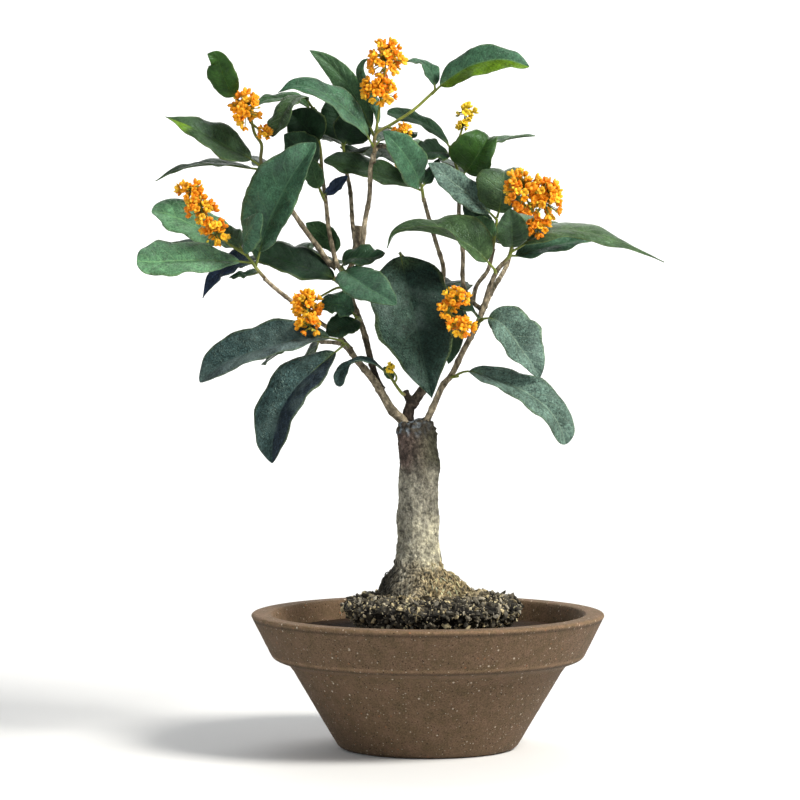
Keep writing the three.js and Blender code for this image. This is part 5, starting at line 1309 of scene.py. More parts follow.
def make_soil():
    angles = 2 * math.pi * np.arange(SOIL_SECTORS) / SOIL_SECTORS
    ball = ball_points(np.linspace(0.01, 1, BALL_RINGS)[:, None], angles[None])
    out = slopes(ball)
    tints = np.zeros_like(ball)
    for place in np.ndindex(ball.shape[:2]):
        raised = clod_relief(*ball[place])
        tints[place] = soil_tint(*ball[place], raised)
        ball[place] += out[place] * raised
    rows, row_tints = list(ball), list(tints)
    for radius, height, shade in fine_rings():
        row = np.stack([radius * np.cos(angles), radius * np.sin(angles), height + 0 * angles], axis=-1)
        grains = [0.35 * rough(x, y, z, 1.3) + 0.5 * rough(x, y, z, 9) for x, y, z in row]
        if height > SOIL_LEVEL - 1:
            row[:, 2] += grains
        rows.append(row)
        row_tints.append(np.array([mix(SOIL_BROWN, SOIL_DARK, shade + 0.3 * g) for g in grains]))
    points = np.concatenate([[(*BALL_CENTRE, BALL_TOP)], *rows, [(0, 0, rows[-1][0][2])]])
    shades = np.concatenate([[SOIL_DARK], *row_tints, [SOIL_BROWN]])
    ring = 1 + np.arange(len(rows) * SOIL_SECTORS).reshape(-1, SOIL_SECTORS)
    around = np.roll(ring, -1, axis=1)
    middle = np.stack([np.zeros_like(ring[0]), ring[0], around[0]], axis=-1)
    bottom = np.stack([np.full_like(ring[0], len(points) - 1), around[-1], ring[-1]], axis=-1)
    piece = Piece()
    piece.add(points, [ring_walls(ring), middle, bottom], shades.clip(DARKEST, 1))
    return piece


soil_piece = make_soil()
print("points in the soil sheet:", soil_piece.count)

# %% [markdown]
# Bark chips, grit and bits of straw lie loose on the ball. Blender's particles could scatter them,
# and so does a seeded draw of random spots, which gives the same result each run. A chip is one
# small round shape that is stretched, knocked and turned differently each time. Chips near the
# trunk are paler and more fibrous, since the roots show there.

# %% Chips and straw
CHIPS = 4200
STRAWS = 260
TRUNK_FOOT = (-7, 0)
CHIP_KNOCK = 0.25


def chip_shape():
    """A ball of 12 points and 20 faces, which is then stretched and knocked into a chip."""
    golden = (1 + math.sqrt(5)) / 2
    corners = np.array([(a, b * golden, 0) for a in (-1, 1) for b in (-1, 1)], float)
    corners = np.concatenate([corners, np.roll(corners, 1, axis=1), np.roll(corners, 2, axis=1)])
    corners /= np.linalg.norm(corners[0])
    faces = []
    for i in range(12):
        for j in range(i + 1, 12):
            for k in range(j + 1, 12):
                a, b, c = corners[i], corners[j], corners[k]
                if max(math.dist(a, b), math.dist(b, c), math.dist(a, c)) < 1.1:
                    faces.append((i, j, k) if np.dot(np.cross(b - a, c - a), a) > 0 else (i, k, j))
    return corners, np.array(faces)


def ball_spots(draw, count, lowest):
    """Random spots on the root ball, each with its outward direction."""
    shares = np.sqrt(draw.uniform(0.06, 1, count)) * lowest
    angles = draw.uniform(0, 2 * math.pi, count)
    step = 0.01
    spots = ball_points(shares, angles)
    down = ball_points(shares + step, angles) - ball_points(shares - step, angles)
    around = ball_points(shares, angles + step) - ball_points(shares, angles - step)
    return spots, unit(np.cross(down, around)), unit(down)


def unit(vectors):
    return vectors / np.linalg.norm(vectors, axis=-1, keepdims=True)


def add_chips(piece):
    draw = np.random.default_rng(7)
    corners, faces = chip_shape()
    spots, out, _ = ball_spots(draw, CHIPS, 0.97)
    for spot, direction in zip(spots, out):
        size = draw.uniform(0.5, 1.3) + 2.6 * draw.random() ** 6
        knocks = 1 + CHIP_KNOCK * draw.standard_normal((len(corners), 1)).clip(-1.2, 1.2)
        axes = np.linalg.qr(draw.standard_normal((3, 3)))[0]
        lump = corners * knocks * (size, size * draw.uniform(0.35, 0.7), size * draw.uniform(0.3, 0.6))
        away = math.hypot(spot[0] - TRUNK_FOOT[0], spot[1] - TRUNK_FOOT[1])
        rooty = float(smooth_step(-away, -56, -30)) * float(smooth_step(spot[0], -36, -16))
        brightness = math.exp(1.15 * draw.standard_normal() + 0.4 * rooty)
        base = mix(SOIL_GREY, FIBRE, 0.75 * rooty + 0.2 * draw.random())
        tint = np.minimum(base * 0.95 * brightness, STRAW)
        raised = clod_relief(*spot) + 0.25 * size
        piece.add(lump @ axes + spot + direction * raised, [faces], tint)


def add_straws(piece):
    draw = np.random.default_rng(11)
    spots, out, _ = ball_spots(draw, STRAWS, 0.9)
    for spot, direction in zip(spots, out):
        lie = unit(np.cross(direction, draw.standard_normal(3)))
        half = draw.uniform(0.8, 2.0) + 2 * draw.random() ** 4
        raised = spot + direction * (clod_relief(*spot) + 0.5)
        bend = direction * draw.uniform(-0.3, 0.5) * half
        width = draw.uniform(0.25, 0.5)
        points, faces = tube([raised - lie * half, raised + bend, raised + lie * half],
                             [0.4 * width, width, 0.4 * width], 4, 3)
        piece.add(points, faces, mix(FIBRE, STRAW, draw.random()) * draw.uniform(0.3, 1.0))


add_chips(soil_piece)
add_straws(soil_piece)
soil = soil_piece.build("soil_and_crumbs", soil_material, "soil", "soil", smooth=False)
print("soil faces:", len(soil.data.polygons))

# %% [markdown]
# ## The wood
#
# Trunk and roots grew together, so their tubes are melted into one skin before the bark is raised
# on it. Tubes that merely cross would show a hard line where they meet. The Remesh modifier melts
# them, and a few rounds of smoothing leave an even skin with points close enough for the bark.

# %% Skin of the trunk
SKIN_CELL = 0.85
SMOOTH_ROUNDS = 6


def bark_bulge(angles, share):
    """Five slanting ribs that are strongest in the flare, and a finer unevenness all over."""
    flare = float(smooth_step(-share, -0.35, -0.02))
    ribs = (0.04 + 0.12 * flare) * np.sin(5 * angles + 7 * share)
    return 1 + ribs + 0.02 * np.sin(11 * angles - 9 * share)


def melt(piece_points, piece_faces, cell):
    """Joins overlapping tubes into one even skin and returns its points, normals and faces."""
    mesh = bpy.data.meshes.new("skin")
    mesh.from_pydata((piece_points * MM).tolist(), [], piece_faces)
    skin = bpy.data.objects.new("skin", mesh)
    bpy.context.scene.collection.objects.link(skin)
    remesh = skin.modifiers.new("remesh", "REMESH")
    remesh.mode = "VOXEL"
    remesh.voxel_size = cell * MM
    smooth = skin.modifiers.new("smooth", "SMOOTH")
    smooth.iterations = SMOOTH_ROUNDS
    apply_modifiers(skin)
    count = len(skin.data.vertices)
    points, normals = np.zeros(3 * count), np.zeros(3 * count)
    skin.data.vertices.foreach_get("co", points)
    skin.data.vertices.foreach_get("normal", normals)
    faces = [list(face.vertices) for face in skin.data.polygons]
    bpy.data.objects.remove(skin)
    return points.reshape(-1, 3) / MM, normals.reshape(-1, 3), faces


print("cell of the skin:", SKIN_CELL, "mm")

# %% [markdown]
# Old bark of this tree is grey, dimpled and finely cracked, with dark hollows. It is smoother on
# one side higher up. Near the old cut it is reddish and sooty, and the cut itself is dark and
# blue-grey. Low down on the right, the lit side, it is painted pale as painted light, and the foot
# is fibrous, with its left side painted dark as painted shade. Relief and tint come from the same
# noise, so the cracks are dark where they are deep: partly the bark's own dark colour and partly
# painted shade.


# %% Relief and tint of the bark
def bark_relief(x, y, z):
    """How far the bark stands out, in mm, and how deep in a crack it is, from 0 to 1."""
    foot = float(smooth_step(-z, -140, -118))
    warp = 1.6 * rough(x, y, z, 6, 1)
    lumps = rough(x, y, z * 0.7, 9)
    folds = 1 - 2.2 * abs(noise.noise(Vector(((x + warp) / 3.6, (y + warp) / 3.6, z / (6.5 + 3 * foot)))))
    net = 1 - 2.4 * abs(noise.noise(Vector(((x + warp) / 1.6, (y - warp) / 1.6, (z + warp) / 3.4 + 7))))
    fine = noise.noise(Vector((x / 0.9, y / 0.9, z / 1.5)))
    band = float(smooth_step(z, 168, 176)) * float(smooth_step(-z, -194, -186))
    calm = 1 - 0.75 * float(smooth_step(-x, 3, 8)) * band
    raised = 1.3 * lumps + (0.6 + 0.7 * foot) * folds + calm * (0.5 + 0.2 * foot) * net + 0.25 * fine
    crack = calm * (0.42 - 0.45 * net - 0.40 * folds - 0.35 * fine)
    return raised, min(1.0, max(0.0, crack))


def bark_tint(x, y, z, crack):
    """Grey bark, reddish and sooty near the cut, yellowish and pale low down and much more so on the right
    as painted light, fibrous at the foot with painted shade on its left.
    """
    right = float(smooth_step(x + 7, -11, 12))
    patch = 0.5 + 0.9 * rough(x, y, z, 6, 4)
    speck = 0.5 + 0.9 * rough(x, y, z, 1.5, 9)
    high = float(smooth_step(z + 9 * rough(x, y, z, 9, 2), 186, 204))
    low = float(smooth_step(-z, -176, -142))
    # pale low down, and much more on the right, the lit side, as painted light
    pale = (0.10 + 0.55 * low * right + 0.12 * low) * (0.4 + patch) + 0.30 * (speck - 0.5)
    tint = mix(BARK_GREY, BARK_PALE_AND_LIT, min(1.0, max(0.0, pale)))
    sooty = mix(BARK_RED, BARK_OLIVE, right) * (0.7 + 0.7 * speck)
    tint = mix(tint, sooty, high * 0.95)
    cut = float(smooth_step(z + 3 * rough(x, y, z, 4), 219, 224))
    blue = float(smooth_step(rough(x, y, z, 3, 6), -0.1, 0.2)) * (1 - right)
    tint = mix(tint, mix(BARK_DARK, BARK_CUT, blue), cut * 0.9)
    # the cracks darken with their depth: the bark's own dark colour and painted shade
    tint = mix(tint, BARK_DARK, 0.85 * crack)
    foot = float(smooth_step(-z + 6 * rough(x, y, z, 6), -136, -120))
    fibre = float(smooth_step(rough(x, y, z, 1.6, 5) - 0.6 * crack, -0.45, 0.3))
    # on the left the fibrous foot is painted dark, as painted shade
    left = float(smooth_step(-x + 5 * rough(x, y, z, 7), 17, 27))
    rooty = mix(BARK_DARK, mix(BARK_GREY, FIBRE, 0.25 + 0.75 * right), fibre * (1 - 0.85 * left))
    return mix(tint, rooty, foot)


print("relief and crack half way up the trunk:", [round(part, 2) for part in bark_relief(7, 0, 160)])

# %% [markdown]
# The trunk is built from its tubes, melted, and pushed out along its normals. Its top is an old
# saw cut that has weathered rough. Shreds of bark and fine roots run down over the flare. They are
# tubes of their own, because relief alone can't stand free of the wood.

# %% Trunk and roots
TRUNK_SIDES = 48
TRUNK_ROWS = 60
ROOT_SIDES = 12
ROOT_ROWS = 12
CUT_HEIGHT = 218
FIBRES = 900
FIBRE_SIDES = 5
FIBRE_ROWS = 4


def add_trunk(piece):
    centres, radii = [p[:3] for p in TRUNK], [p[3] for p in TRUNK]
    parts = [tube(centres, radii, TRUNK_SIDES, TRUNK_ROWS, bark_bulge)]
    parts += [tube(path, ROOT_RADII, ROOT_SIDES, ROOT_ROWS) for path in ROOTS]
    points, faces = [], []
    for part_points, part_faces in parts:
        start = sum(map(len, points))
        faces += [[start + corner for corner in face] for block in part_faces for face in block.tolist()]
        points.append(part_points)
    spots, normals, faces = melt(np.concatenate(points), faces, SKIN_CELL)
    tints = []
    for i, (x, y, z) in enumerate(spots):
        raised, crack = bark_relief(x, y, z)
        if z > CUT_HEIGHT:
            raised += 1.5 * rough(x, y, z, 2.6, 7)
        spots[i] += normals[i] * raised
        tints.append(bark_tint(x, y, z, crack))
    netted = np.tile((0.0, 0.0, 1.0), (len(spots), 1))
    netted[:, 2] = smooth_step(spots[:, 2], 104, 124)
    piece.add(spots, [np.array(face)[None] for face in faces], np.array(tints), netted)
    add_fibres(piece, spots, normals)


def add_fibres(piece, spots, normals):
    """Short shreds of bark and fine roots that run down over the flare, painted dark on the left as painted
    shade.
    """
    draw = np.random.default_rng(23)
    fit = np.flatnonzero((spots[:, 2] > 98) & (spots[:, 2] < 134) & (spots[:, 0] > -32))
    chance = smooth_step(-spots[fit, 2], -136, -118)
    for i in draw.choice(fit, FIBRES, p=chance / chance.sum()):
        spot, out = spots[i], normals[i]
        down = np.array([0.0, 0.0, -1.0]) + 0.28 * draw.standard_normal(3)
        lie = unit(down - out * down.dot(out))
        half = draw.uniform(1.2, 3.2)
        width = draw.uniform(0.3, 0.75)
        middle = spot + out * draw.uniform(0.1, 0.7)
        path = [spot - lie * half - out * 0.2, middle, spot + lie * half - out * 0.2]
        points, faces = tube(path, [0.5 * width, width, 0.4 * width], FIBRE_SIDES, FIBRE_ROWS)
        right = float(smooth_step(spot[0], -20, 10))
        # the shreds on the left are painted dark, as painted shade
        painted_lit_share = float(smooth_step(spot[0] + 4 * draw.standard_normal(), -30, -18))
        shade = (0.12 + 0.88 * painted_lit_share) * min(1.1, math.exp(0.6 * draw.standard_normal() - 0.25))
        tint = mix(BARK_GREY, mix(FIBRE, STRAW, draw.random()), right) * shade
        piece.add(points, faces, tint.clip(0.02, 0.45))


wood = Piece()
add_trunk(wood)
print("points in the trunk and roots:", wood.count)

# %% [markdown]
# The limbs are young and nearly smooth, with a small ring where each leaf once sat and a collar
# where they leave the wood. Three of them are sooty near the trunk, for the length given here.
# The upper side of a limb is painted lighter and its underside darker, as painted light and painted shade.

# %% Limbs
DARK_LIMBS = {"middle_limb": 60, "dead_stub": 60, "dark_limb": 45}
LIMB_SIDES = 12
LIMB_ROW = 1.2
RING_SPACING = 20


def add_limb(piece, name, path, start, end, seed):
    """A young branch: a collar where it leaves, then an even shoot with faint leaf rings."""
    length = length_of(path)
    rings = max(2, round(length / RING_SPACING))

    def swell(angles, share):
        ring = math.exp(-(((share * rings + 0.5) % 1 - 0.5) * length / rings / 1.3) ** 2)
        height = seed + share * length / 2.5
        knobs = [noise.noise(Vector((2 * math.cos(a), 2 * math.sin(a), height))) for a in angles]
        return 1 + 0.20 * ring + 0.12 * np.array(knobs) + 0.3 * math.exp(-share * length / 5)

    rows = max(10, round(length / LIMB_ROW))
    points, faces = tube(path, [start, end], LIMB_SIDES, rows, swell)
    away = np.repeat(np.linspace(0, length, rows + 1), LIMB_SIDES)
    sooty = np.clip(1.3 - away / DARK_LIMBS[name], 0, 1) if name in DARK_LIMBS else 0 * away
    streak = np.array([noise.noise(Vector((x / 1.6, y / 1.6, z / 6))) for x, y, z in points])
    # painted light: the upper side of a limb is painted lighter and the underside darker
    heights = points[:, 2].reshape(rows + 1, LIMB_SIDES)
    raised = (heights - heights.mean(axis=1, keepdims=True)).ravel() / start
    brightness = (0.85 + streak) * (1 + 0.5 * raised)
    tint = mix(LIMB_GREY, LIMB_DARK, sooty[:, None]) * brightness[:, None]
    piece.add(points, faces, tint.clip(0.01, 1))


for seed, (name, (start, end, path)) in enumerate(LIMBS.items()):
    add_limb(wood, name, path, start, end, 7 * seed)
wood_shown = wood.build("wood_and_bark", bark, "trunk_and_branches", "bark")
print("wood faces:", len(wood_shown.data.polygons))

# %% [markdown]
# ## The leaves
#
# An osmanthus leaf is a stiff elliptic blade with a drawn-out tip on a short stalk. It folds up
# along the midrib, waves towards its margins and is quilted between its side veins. One leaf
# could be modelled and bent into many by curve modifiers, but each leaf here has its own path,
# width and fold, so a rule makes each one. First come its outline and the frame it is laid on.

# %% Outline and frame of a blade
STALK_SHARE = 0.11
BASE_POWER = 0.65
BLADE_ROWS = 46
BLADE_COLUMNS = 16
PLAIN_TAPER = 0.8
PLAIN_FOLD = 0.2
PLAIN_BENDS = (0, 0.4)


def blade_shape(share, taper):
    """How wide the blade is at a share of the leaf's length, where its widest place is 1."""
    along = np.clip((share - STALK_SHARE) / (1 - STALK_SHARE), 0, 1)
    widest = BASE_POWER / (BASE_POWER + taper)
    return along ** BASE_POWER * (1 - along) ** taper / (widest ** BASE_POWER * (1 - widest) ** taper)


def blade_frame(leaf, shares):
    """The midrib's points, and the directions across the blade and out of its glossy side."""
    centres, along, _ = follow(leaf["path"], shares)
    face = unit(np.array(leaf["face"], float))
    tip_face = unit(np.array(leaf.get("tip_face", leaf["face"]), float))
    start, end = leaf.get("bends", PLAIN_BENDS)
    turned = np.clip((shares - start) / (end - start), 0, 1)[:, None]
    across = unit(np.cross(along, face * (1 - turned) + tip_face * turned))
    return centres, across, np.cross(across, along)


BLADE_SHARES = STALK_SHARE + (1 - STALK_SHARE) * np.sin(np.linspace(0, math.pi / 2, BLADE_ROWS)) ** 1.25
print("rows of a blade, closer together at the foot and the tip:", len(BLADE_SHARES))

# %% [markdown]
# The blade itself is a grid of rows and columns on that frame. v is the place across, from -1 to
# 1. The fold lifts both halves, ripples grow towards the margins, and the quilting swells between
# the side veins. An old leaf is more uneven. A narrow leaf or tip has less of all this.

# %% Relief of a blade
RIPPLE = 1.2
WAVES = 5 * math.pi
WAVE_SHIFT = 1.3
CALM_WIDTH = 8
TIP_WIDTH = 0.7
PUFF = 0.10
CREASE_ROUND = 0.004


def blade_points(leaf, frame_of_blade, v, age, draw):
    """A grid of points in the middle of the blade's thickness."""
    centres, across, normal = frame_of_blade
    share = BLADE_SHARES[:, None]
    fold = leaf.get("fold", PLAIN_FOLD)
    width = leaf["width"] * blade_shape(BLADE_SHARES, leaf.get("taper", PLAIN_TAPER))
    half = 0.5 * np.maximum(width, TIP_WIDTH)[:, None]
    broad = np.minimum(1, half / CALM_WIDTH)
    uneven = 0.02 + 0.04 * age
    margin = 1 + uneven * np.sin(23 * share + 9 * draw.random() + 2 * v)
    margin = margin + 0.014 * np.sin(67 * share + 5 * v)
    phase = 2 * math.pi * (VEIN_COUNT * share - VEIN_SLANT * np.abs(v))
    quilt = (0.22 + 0.36 * age) * broad * np.sin(math.pi * np.abs(v)) * np.cos(phase)
    puff = PUFF * half * np.sin(math.pi * np.abs(v))
    ripple = RIPPLE * v * v * np.sin(WAVES * share + WAVE_SHIFT * v)
    ripple = ripple + 0.5 * v ** 4 * np.sin(31 * share + 6 * draw.random())
    crease = np.sqrt(v * v + CREASE_ROUND) - math.sqrt(CREASE_ROUND)
    reach = half * (1 + leaf.get("skew", 0) * v)
    lift = reach * crease * math.sin(fold) + ripple * broad + quilt + puff
    spots = centres[:, None] + across[:, None] * (reach * margin * v * math.cos(fold))[..., None]
    return spots + normal[:, None] * lift[..., None]


print("ripple at the margin:", RIPPLE, "mm")

# %% [markdown]
# The tint of a blade starts from its tone, a little lighter or darker by chance. The tip and one
# half take the tone as it is, or a tone of their own that paints a highlight, light, sheen and
# shade on them. The margin is a little paler, as is the foot along the rib. The underside is a
# touch yellower than the glossy side.

# %% Tint of a blade
RIM_PALE = 0.30
FOOT_PALE = 0.5
UNDERSIDE_PALE = 0.2


def blade_tints(leaf, tint, v):
    """Tints of the glossy side and of the underside, point by point."""
    share = BLADE_SHARES[:, None]
    ones = np.ones((len(share), v.shape[1]))
    rim = (smooth_step(np.abs(v), 0.93, 1.0) * ones).reshape(-1, 1)
    foot = (smooth_step(-share, -0.24, -0.11) * (1 - np.abs(v))).reshape(-1, 1)
    tip = smooth_step(share + 0.05 * v, 0.70, 0.80).reshape(-1, 1)
    side = smooth_step(leaf.get("side", 1) * v * ones, -0.02, 0.06).reshape(-1, 1)
    # the tip's tone and one half's tone paint a highlight, light, sheen and shade on the blade
    blade = mix(tint, np.array(TONES[leaf.get("tip_tone", leaf["tone"])][:3]), tip)
    blade = mix(blade, np.array(TONES[leaf.get("half_tone", leaf["tone"])][:3]), side)
    upper = mix(mix(blade, RIM_GREEN, RIM_PALE * rim), RIB_GREEN, FOOT_PALE * foot)
    lower = mix(tint, UNDERSIDE, UNDERSIDE_PALE) + 0 * upper
    return np.concatenate([upper, lower])


print("tones used:", len({leaf["tone"] for _, leaves in SHOOTS.values() for leaf in leaves.values()}))

# %% [markdown]
# Each blade is a closed thin sheet, so it has an edge and an underside like the real one. The rib
# below it is a tapering tube that runs on as the stalk.

# %% A whole leaf
BLADE_THICKNESS = 0.45
RIB_DROP = 0.3
RIB_SIDES = 7
RIB_ROWS = 30


def add_leaf(piece, leaf, draw):
    *colour, age = TONES[leaf["tone"]]
    v = np.linspace(-1, 1, BLADE_COLUMNS + 1)[None]
    centres, across, normal = blade_frame(leaf, BLADE_SHARES)
    spots = blade_points(leaf, (centres, across, normal), v, age, draw)
    shift = normal[:, None] * BLADE_THICKNESS / 2
    points = np.concatenate([(spots + shift).reshape(-1, 3), (spots - shift).reshape(-1, 3)])
    tint = np.array(colour) * draw.uniform(0.88, 1.14)
    ones = np.ones_like(spots[..., 0])
    places = np.stack([v * ones, BLADE_SHARES[:, None] * ones, age * ones], axis=-1).reshape(-1, 3)
    tints = blade_tints(leaf, tint, v)
    piece.add(points, sheet_faces(*ones.shape), tints, np.tile(places, (2, 1)))
    add_rib(piece, leaf["path"], centres - RIB_DROP * normal, tint)


def sheet_faces(rows, columns):
    """Faces of a closed sheet: a grid above, the same grid below and a rim between them."""
    top = np.arange(rows * columns).reshape(rows, columns)
    low = top + rows * columns
    a, b, c, d = top[:-1, :-1], top[1:, :-1], top[1:, 1:], top[:-1, 1:]
    upper = np.stack([a, d, c, b], axis=-1).reshape(-1, 4)
    lower = upper[:, ::-1] + rows * columns
    rims = []
    for edge, under in ((top[:, 0], low[:, 0]), (top[::-1, -1], low[::-1, -1]),
                        (top[0, ::-1], low[0, ::-1]), (top[-1], low[-1])):
        rims.append(np.stack([edge[:-1], edge[1:], under[1:], under[:-1]], axis=-1))
    return [upper, lower, *rims]


def add_rib(piece, path, under, tint):
    """The stalk and the midrib below the blade, in one tapering tube."""
    stalk, _, _ = follow(path, np.array([0, 0.5, 0.9]) * STALK_SHARE)
    spots = np.concatenate([stalk, under[3::7]])
    radii = [1.0, 0.85, 0.8] + list(np.linspace(0.62, 0.12, len(spots) - 3))
    points, faces = tube(spots, radii, RIB_SIDES, RIB_ROWS)
    share = np.repeat(np.linspace(0, 1, RIB_ROWS + 1), RIB_SIDES)[:, None]
    green = mix(STEM_GREEN, 0.4 * np.array(RIB_GREEN) + 0.6 * tint, np.minimum(1, 2 * share))
    piece.add(points, faces, green)


sheet_sizes = [len(block) for block in sheet_faces(BLADE_ROWS, BLADE_COLUMNS + 1)]
print("faces of a blade:", sum(sheet_sizes))

# %% [markdown]
# A shoot is its green stems, which turn woody and brown at the foot, and its leaves. All of it is
# one piece, as it grew. The seed is the shoot's own, so a change to one shoot leaves the others
# as they are.

# %% Shoots of leaves
STEM_RADII = [1.3, 1.0]
STEM_SIDES = 8
STEM_ROW = 2
FIRST_SHOOT_SEED = 50


def make_shoot(name, stems, leaves, seed):
    draw = np.random.default_rng(seed)
    piece = Piece()
    for path in stems:
        rows = max(4, round(length_of(path) / STEM_ROW))
        points, faces = tube(path, STEM_RADII, STEM_SIDES, rows)
        share = np.repeat(np.linspace(0, 1, rows + 1), STEM_SIDES)[:, None]
        piece.add(points, faces, mix(STEM_BROWN, STEM_GREEN, smooth_step(share, 0.0, 0.5)))
    for blade in leaves.values():
        add_leaf(piece, blade, draw)
    return piece.build(name + "_leaves", leaf_material, name, "leaf")


shoots = []
for i, (name, (stems, leaves)) in enumerate(SHOOTS.items()):
    shoots.append(make_shoot(name, stems, leaves, FIRST_SHOOT_SEED + i))
print("shoots:", len(shoots), "leaf faces:", sum(len(shown.data.polygons) for shown in shoots))

# %% [markdown]
# ## The flowers
#
# Sweet osmanthus bears its flowers in tight bunches in the leaf axils. Each one is a short tube
# that opens into four thick rounded lobes. A lobe could be a subdivided box, but there are
# thousands of them, so a squashed ball of few faces is bent into shape once and used for all.

# %% One lobe
LOBE_SIZE = (0.45, 0.52, 0.36)
LOBE_PLACE = (0.50, 0, 0.10)
LOBE_SIDES = 6
LOBE_ROWS = 5
CUP = 0.95
CUP_START = 0.12
CUP_POWER = 1.4
CUP_SIDES = 0.4


def lobe_shape():
    """One thick, rounded lobe that leans up and out from the flower's heart."""
    points = [(0, 0, -1)]
    for row in range(1, LOBE_ROWS):
        level = -math.cos(math.pi * row / LOBE_ROWS)
        reach = math.sqrt(1 - level * level)
        for i in range(LOBE_SIDES):
            angle = 2 * math.pi * i / LOBE_SIDES
            points.append((reach * math.cos(angle), reach * math.sin(angle), level))
    points.append((0, 0, 1))
    points = np.array(points) * LOBE_SIZE + LOBE_PLACE
    lean = CUP * (points[:, 0] - CUP_START).clip(0) ** CUP_POWER
    points[:, 2] += lean + CUP_SIDES * points[:, 1] ** 2
    ring = 1 + np.arange((LOBE_ROWS - 1) * LOBE_SIDES).reshape(-1, LOBE_SIDES)
    around = np.roll(ring, -1, axis=1)
    low = np.stack([np.zeros_like(ring[0]), around[0], ring[0]], axis=-1)
    high = np.stack([np.full_like(ring[0], len(points) - 1), ring[-1], around[-1]], axis=-1)
    return points, [ring_walls(ring)[:, ::-1], low, high]


LOBE_POINTS, LOBE_FACES = lobe_shape()
print("points on a lobe:", len(LOBE_POINTS))

# %% [markdown]
# A flower is four lobes round a short tube, and each has its own turn and its own orange. Each lobe
# is painted darker where it lies low in the cup, towards the heart, as painted shade. A few green
# buds stand between the flowers.


# %% Flowers and buds
def turn_to(points, out, spin):
    """Points with their +Z turned to a direction and spun about it."""
    out = unit(out)
    guide = np.array([0.0, 0.0, 1.0]) if abs(out[2]) < 0.9 else np.array([1.0, 0.0, 0.0])
    first = unit(np.cross(guide, out))
    second = np.cross(out, first)
    x = points[:, 0] * math.cos(spin) - points[:, 1] * math.sin(spin)
    y = points[:, 0] * math.sin(spin) + points[:, 1] * math.cos(spin)
    return np.outer(x, first) + np.outer(y, second) + np.outer(points[:, 2], out)


def add_flower(piece, heart, out, size, ripe, draw):
    orange = PETAL_ORANGES[draw.integers(len(PETAL_ORANGES))]
    tint = mix(PETAL_YELLOW, orange, ripe) * draw.uniform(0.88, 1.05)
    spin = draw.uniform(0, math.pi)
    # painted shade: each lobe is darker where it lies low in the cup
    depth = (0.86 + 0.3 * (LOBE_POINTS[:, 2] - 0.1).clip(-0.4, 0.5))[:, None]
    for quarter in range(4):
        lobe = turn_to(LOBE_POINTS * size, out, spin + quarter * math.pi / 2)
        piece.add(lobe + heart, LOBE_FACES, tint * depth * draw.uniform(0.92, 1.06))
    deep = heart - unit(out) * size * 0.55
    points, faces = tube([deep, heart - unit(out) * 0.1, heart + unit(out) * 0.12 * size],
                         [0.12 * size, 0.22 * size, 0.2 * size], 6, 3)
    piece.add(points, faces, FLOWER_HEART)


def add_bud(piece, heart, out, size, draw):
    top = heart + unit(out) * 1.6 * size
    points, faces = tube([heart, 0.5 * (heart + top), top], [0.3 * size, 0.75 * size, 0.3 * size], 6, 5)
    piece.add(points, faces, mix(STEM_GREEN, PETAL_YELLOW, draw.random()))


FLOWER_RADIUS = 3.4
print("a full flower is about", 2 * FLOWER_RADIUS, "mm across")

# %% [markdown]
# A head is one layer of flowers spread evenly over a ball, with some more inside it, so that it
# looks full between them. Each sits on a thin green stalk from the middle. Two clusters are still
# young, and yellow.

# %% Heads and clusters
CROWDING = 0.95
INNER_SHARE = 0.5
BUD_SHARE = 0.10
SMALLEST_HEAD = 5
GOLDEN_ANGLE = math.pi * (3 - math.sqrt(5))
PEDICEL_RADII = [0.35, 0.3, 0.3]
STALK_RADII = [0.95, 0.7]
STALK_SIDES = 7
YELLOW_CLUSTERS = ("flowers_upper_right", "flower_bud")
YELLOW_RIPENESS = 0.15
FIRST_CLUSTER_SEED = 200


def add_head(piece, centre, reach, ripe, draw):
    centre, reach = np.array(centre, float), np.array(reach, float)
    size = min(FLOWER_RADIUS, 0.62 * reach.min())
    count = max(SMALLEST_HEAD, round(CROWDING * 4 * (reach.mean() / size) ** 2))
    inner = round(INNER_SHARE * count)
    for i in range(count + inner):
        level = 1 - 2 * (i % count + 0.5) / count
        angle = GOLDEN_ANGLE * i + 0.5 * draw.random()
        ring = math.sqrt(1 - level * level)
        out = unit(np.array([ring * math.cos(angle), ring * math.sin(angle), level])
                   + 0.25 * draw.standard_normal(3))
        depth = draw.uniform(0.82, 1.02) if i < count else draw.uniform(0.3, 0.7)
        heart = centre + reach * out * depth
        face = unit(out / reach) + 0.3 * draw.standard_normal(3)
        if draw.random() < BUD_SHARE:
            add_bud(piece, heart, face, 0.42 * size, draw)
        else:
            add_flower(piece, heart, face, size * draw.uniform(0.78, 1.08), ripe, draw)
        root = centre + (0, 0, 0.35 * reach[2] * out[2])
        points, faces = tube([root, 0.5 * (root + heart), heart], PEDICEL_RADII, 4, 2)
        piece.add(points, faces, STEM_GREEN)


def make_cluster(name, stalks, heads, seed):
    draw = np.random.default_rng(seed)
    piece = Piece()
    ripe = YELLOW_RIPENESS if name in YELLOW_CLUSTERS else 1.0
    for path in stalks:
        points, faces = tube(path, STALK_RADII, STALK_SIDES, 4 * len(path))
        piece.add(points, faces, STEM_GREEN)
    for centre, reach in heads:
        add_head(piece, centre, reach, ripe, draw)
    return piece.build(name + "_petals", petal, name, "blossom")


clusters = []
for i, (name, (stalks, heads)) in enumerate(CLUSTERS.items()):
    clusters.append(make_cluster(name, stalks, heads, FIRST_CLUSTER_SEED + i))
print("clusters:", len(clusters), "flower faces:", sum(len(shown.data.polygons) for shown in clusters))

# %% [markdown]
# ## Floor, light and camera
#
# The bonsai stands on a plain white floor that curves up behind it, so that no edge shows where
# the floor ends. A single large plane would show its far edge from above.

# %% Floor
FLOOR_FRONT = -4.0
FLOOR_BACK = 2.5
FLOOR_SIDE = 7.0
CURVE_RADIUS = 1.5
CURVE_PARTS = 12
WALL_TOP = 5.0
FLOOR_WHITE = (0.86, 0.86, 0.855)


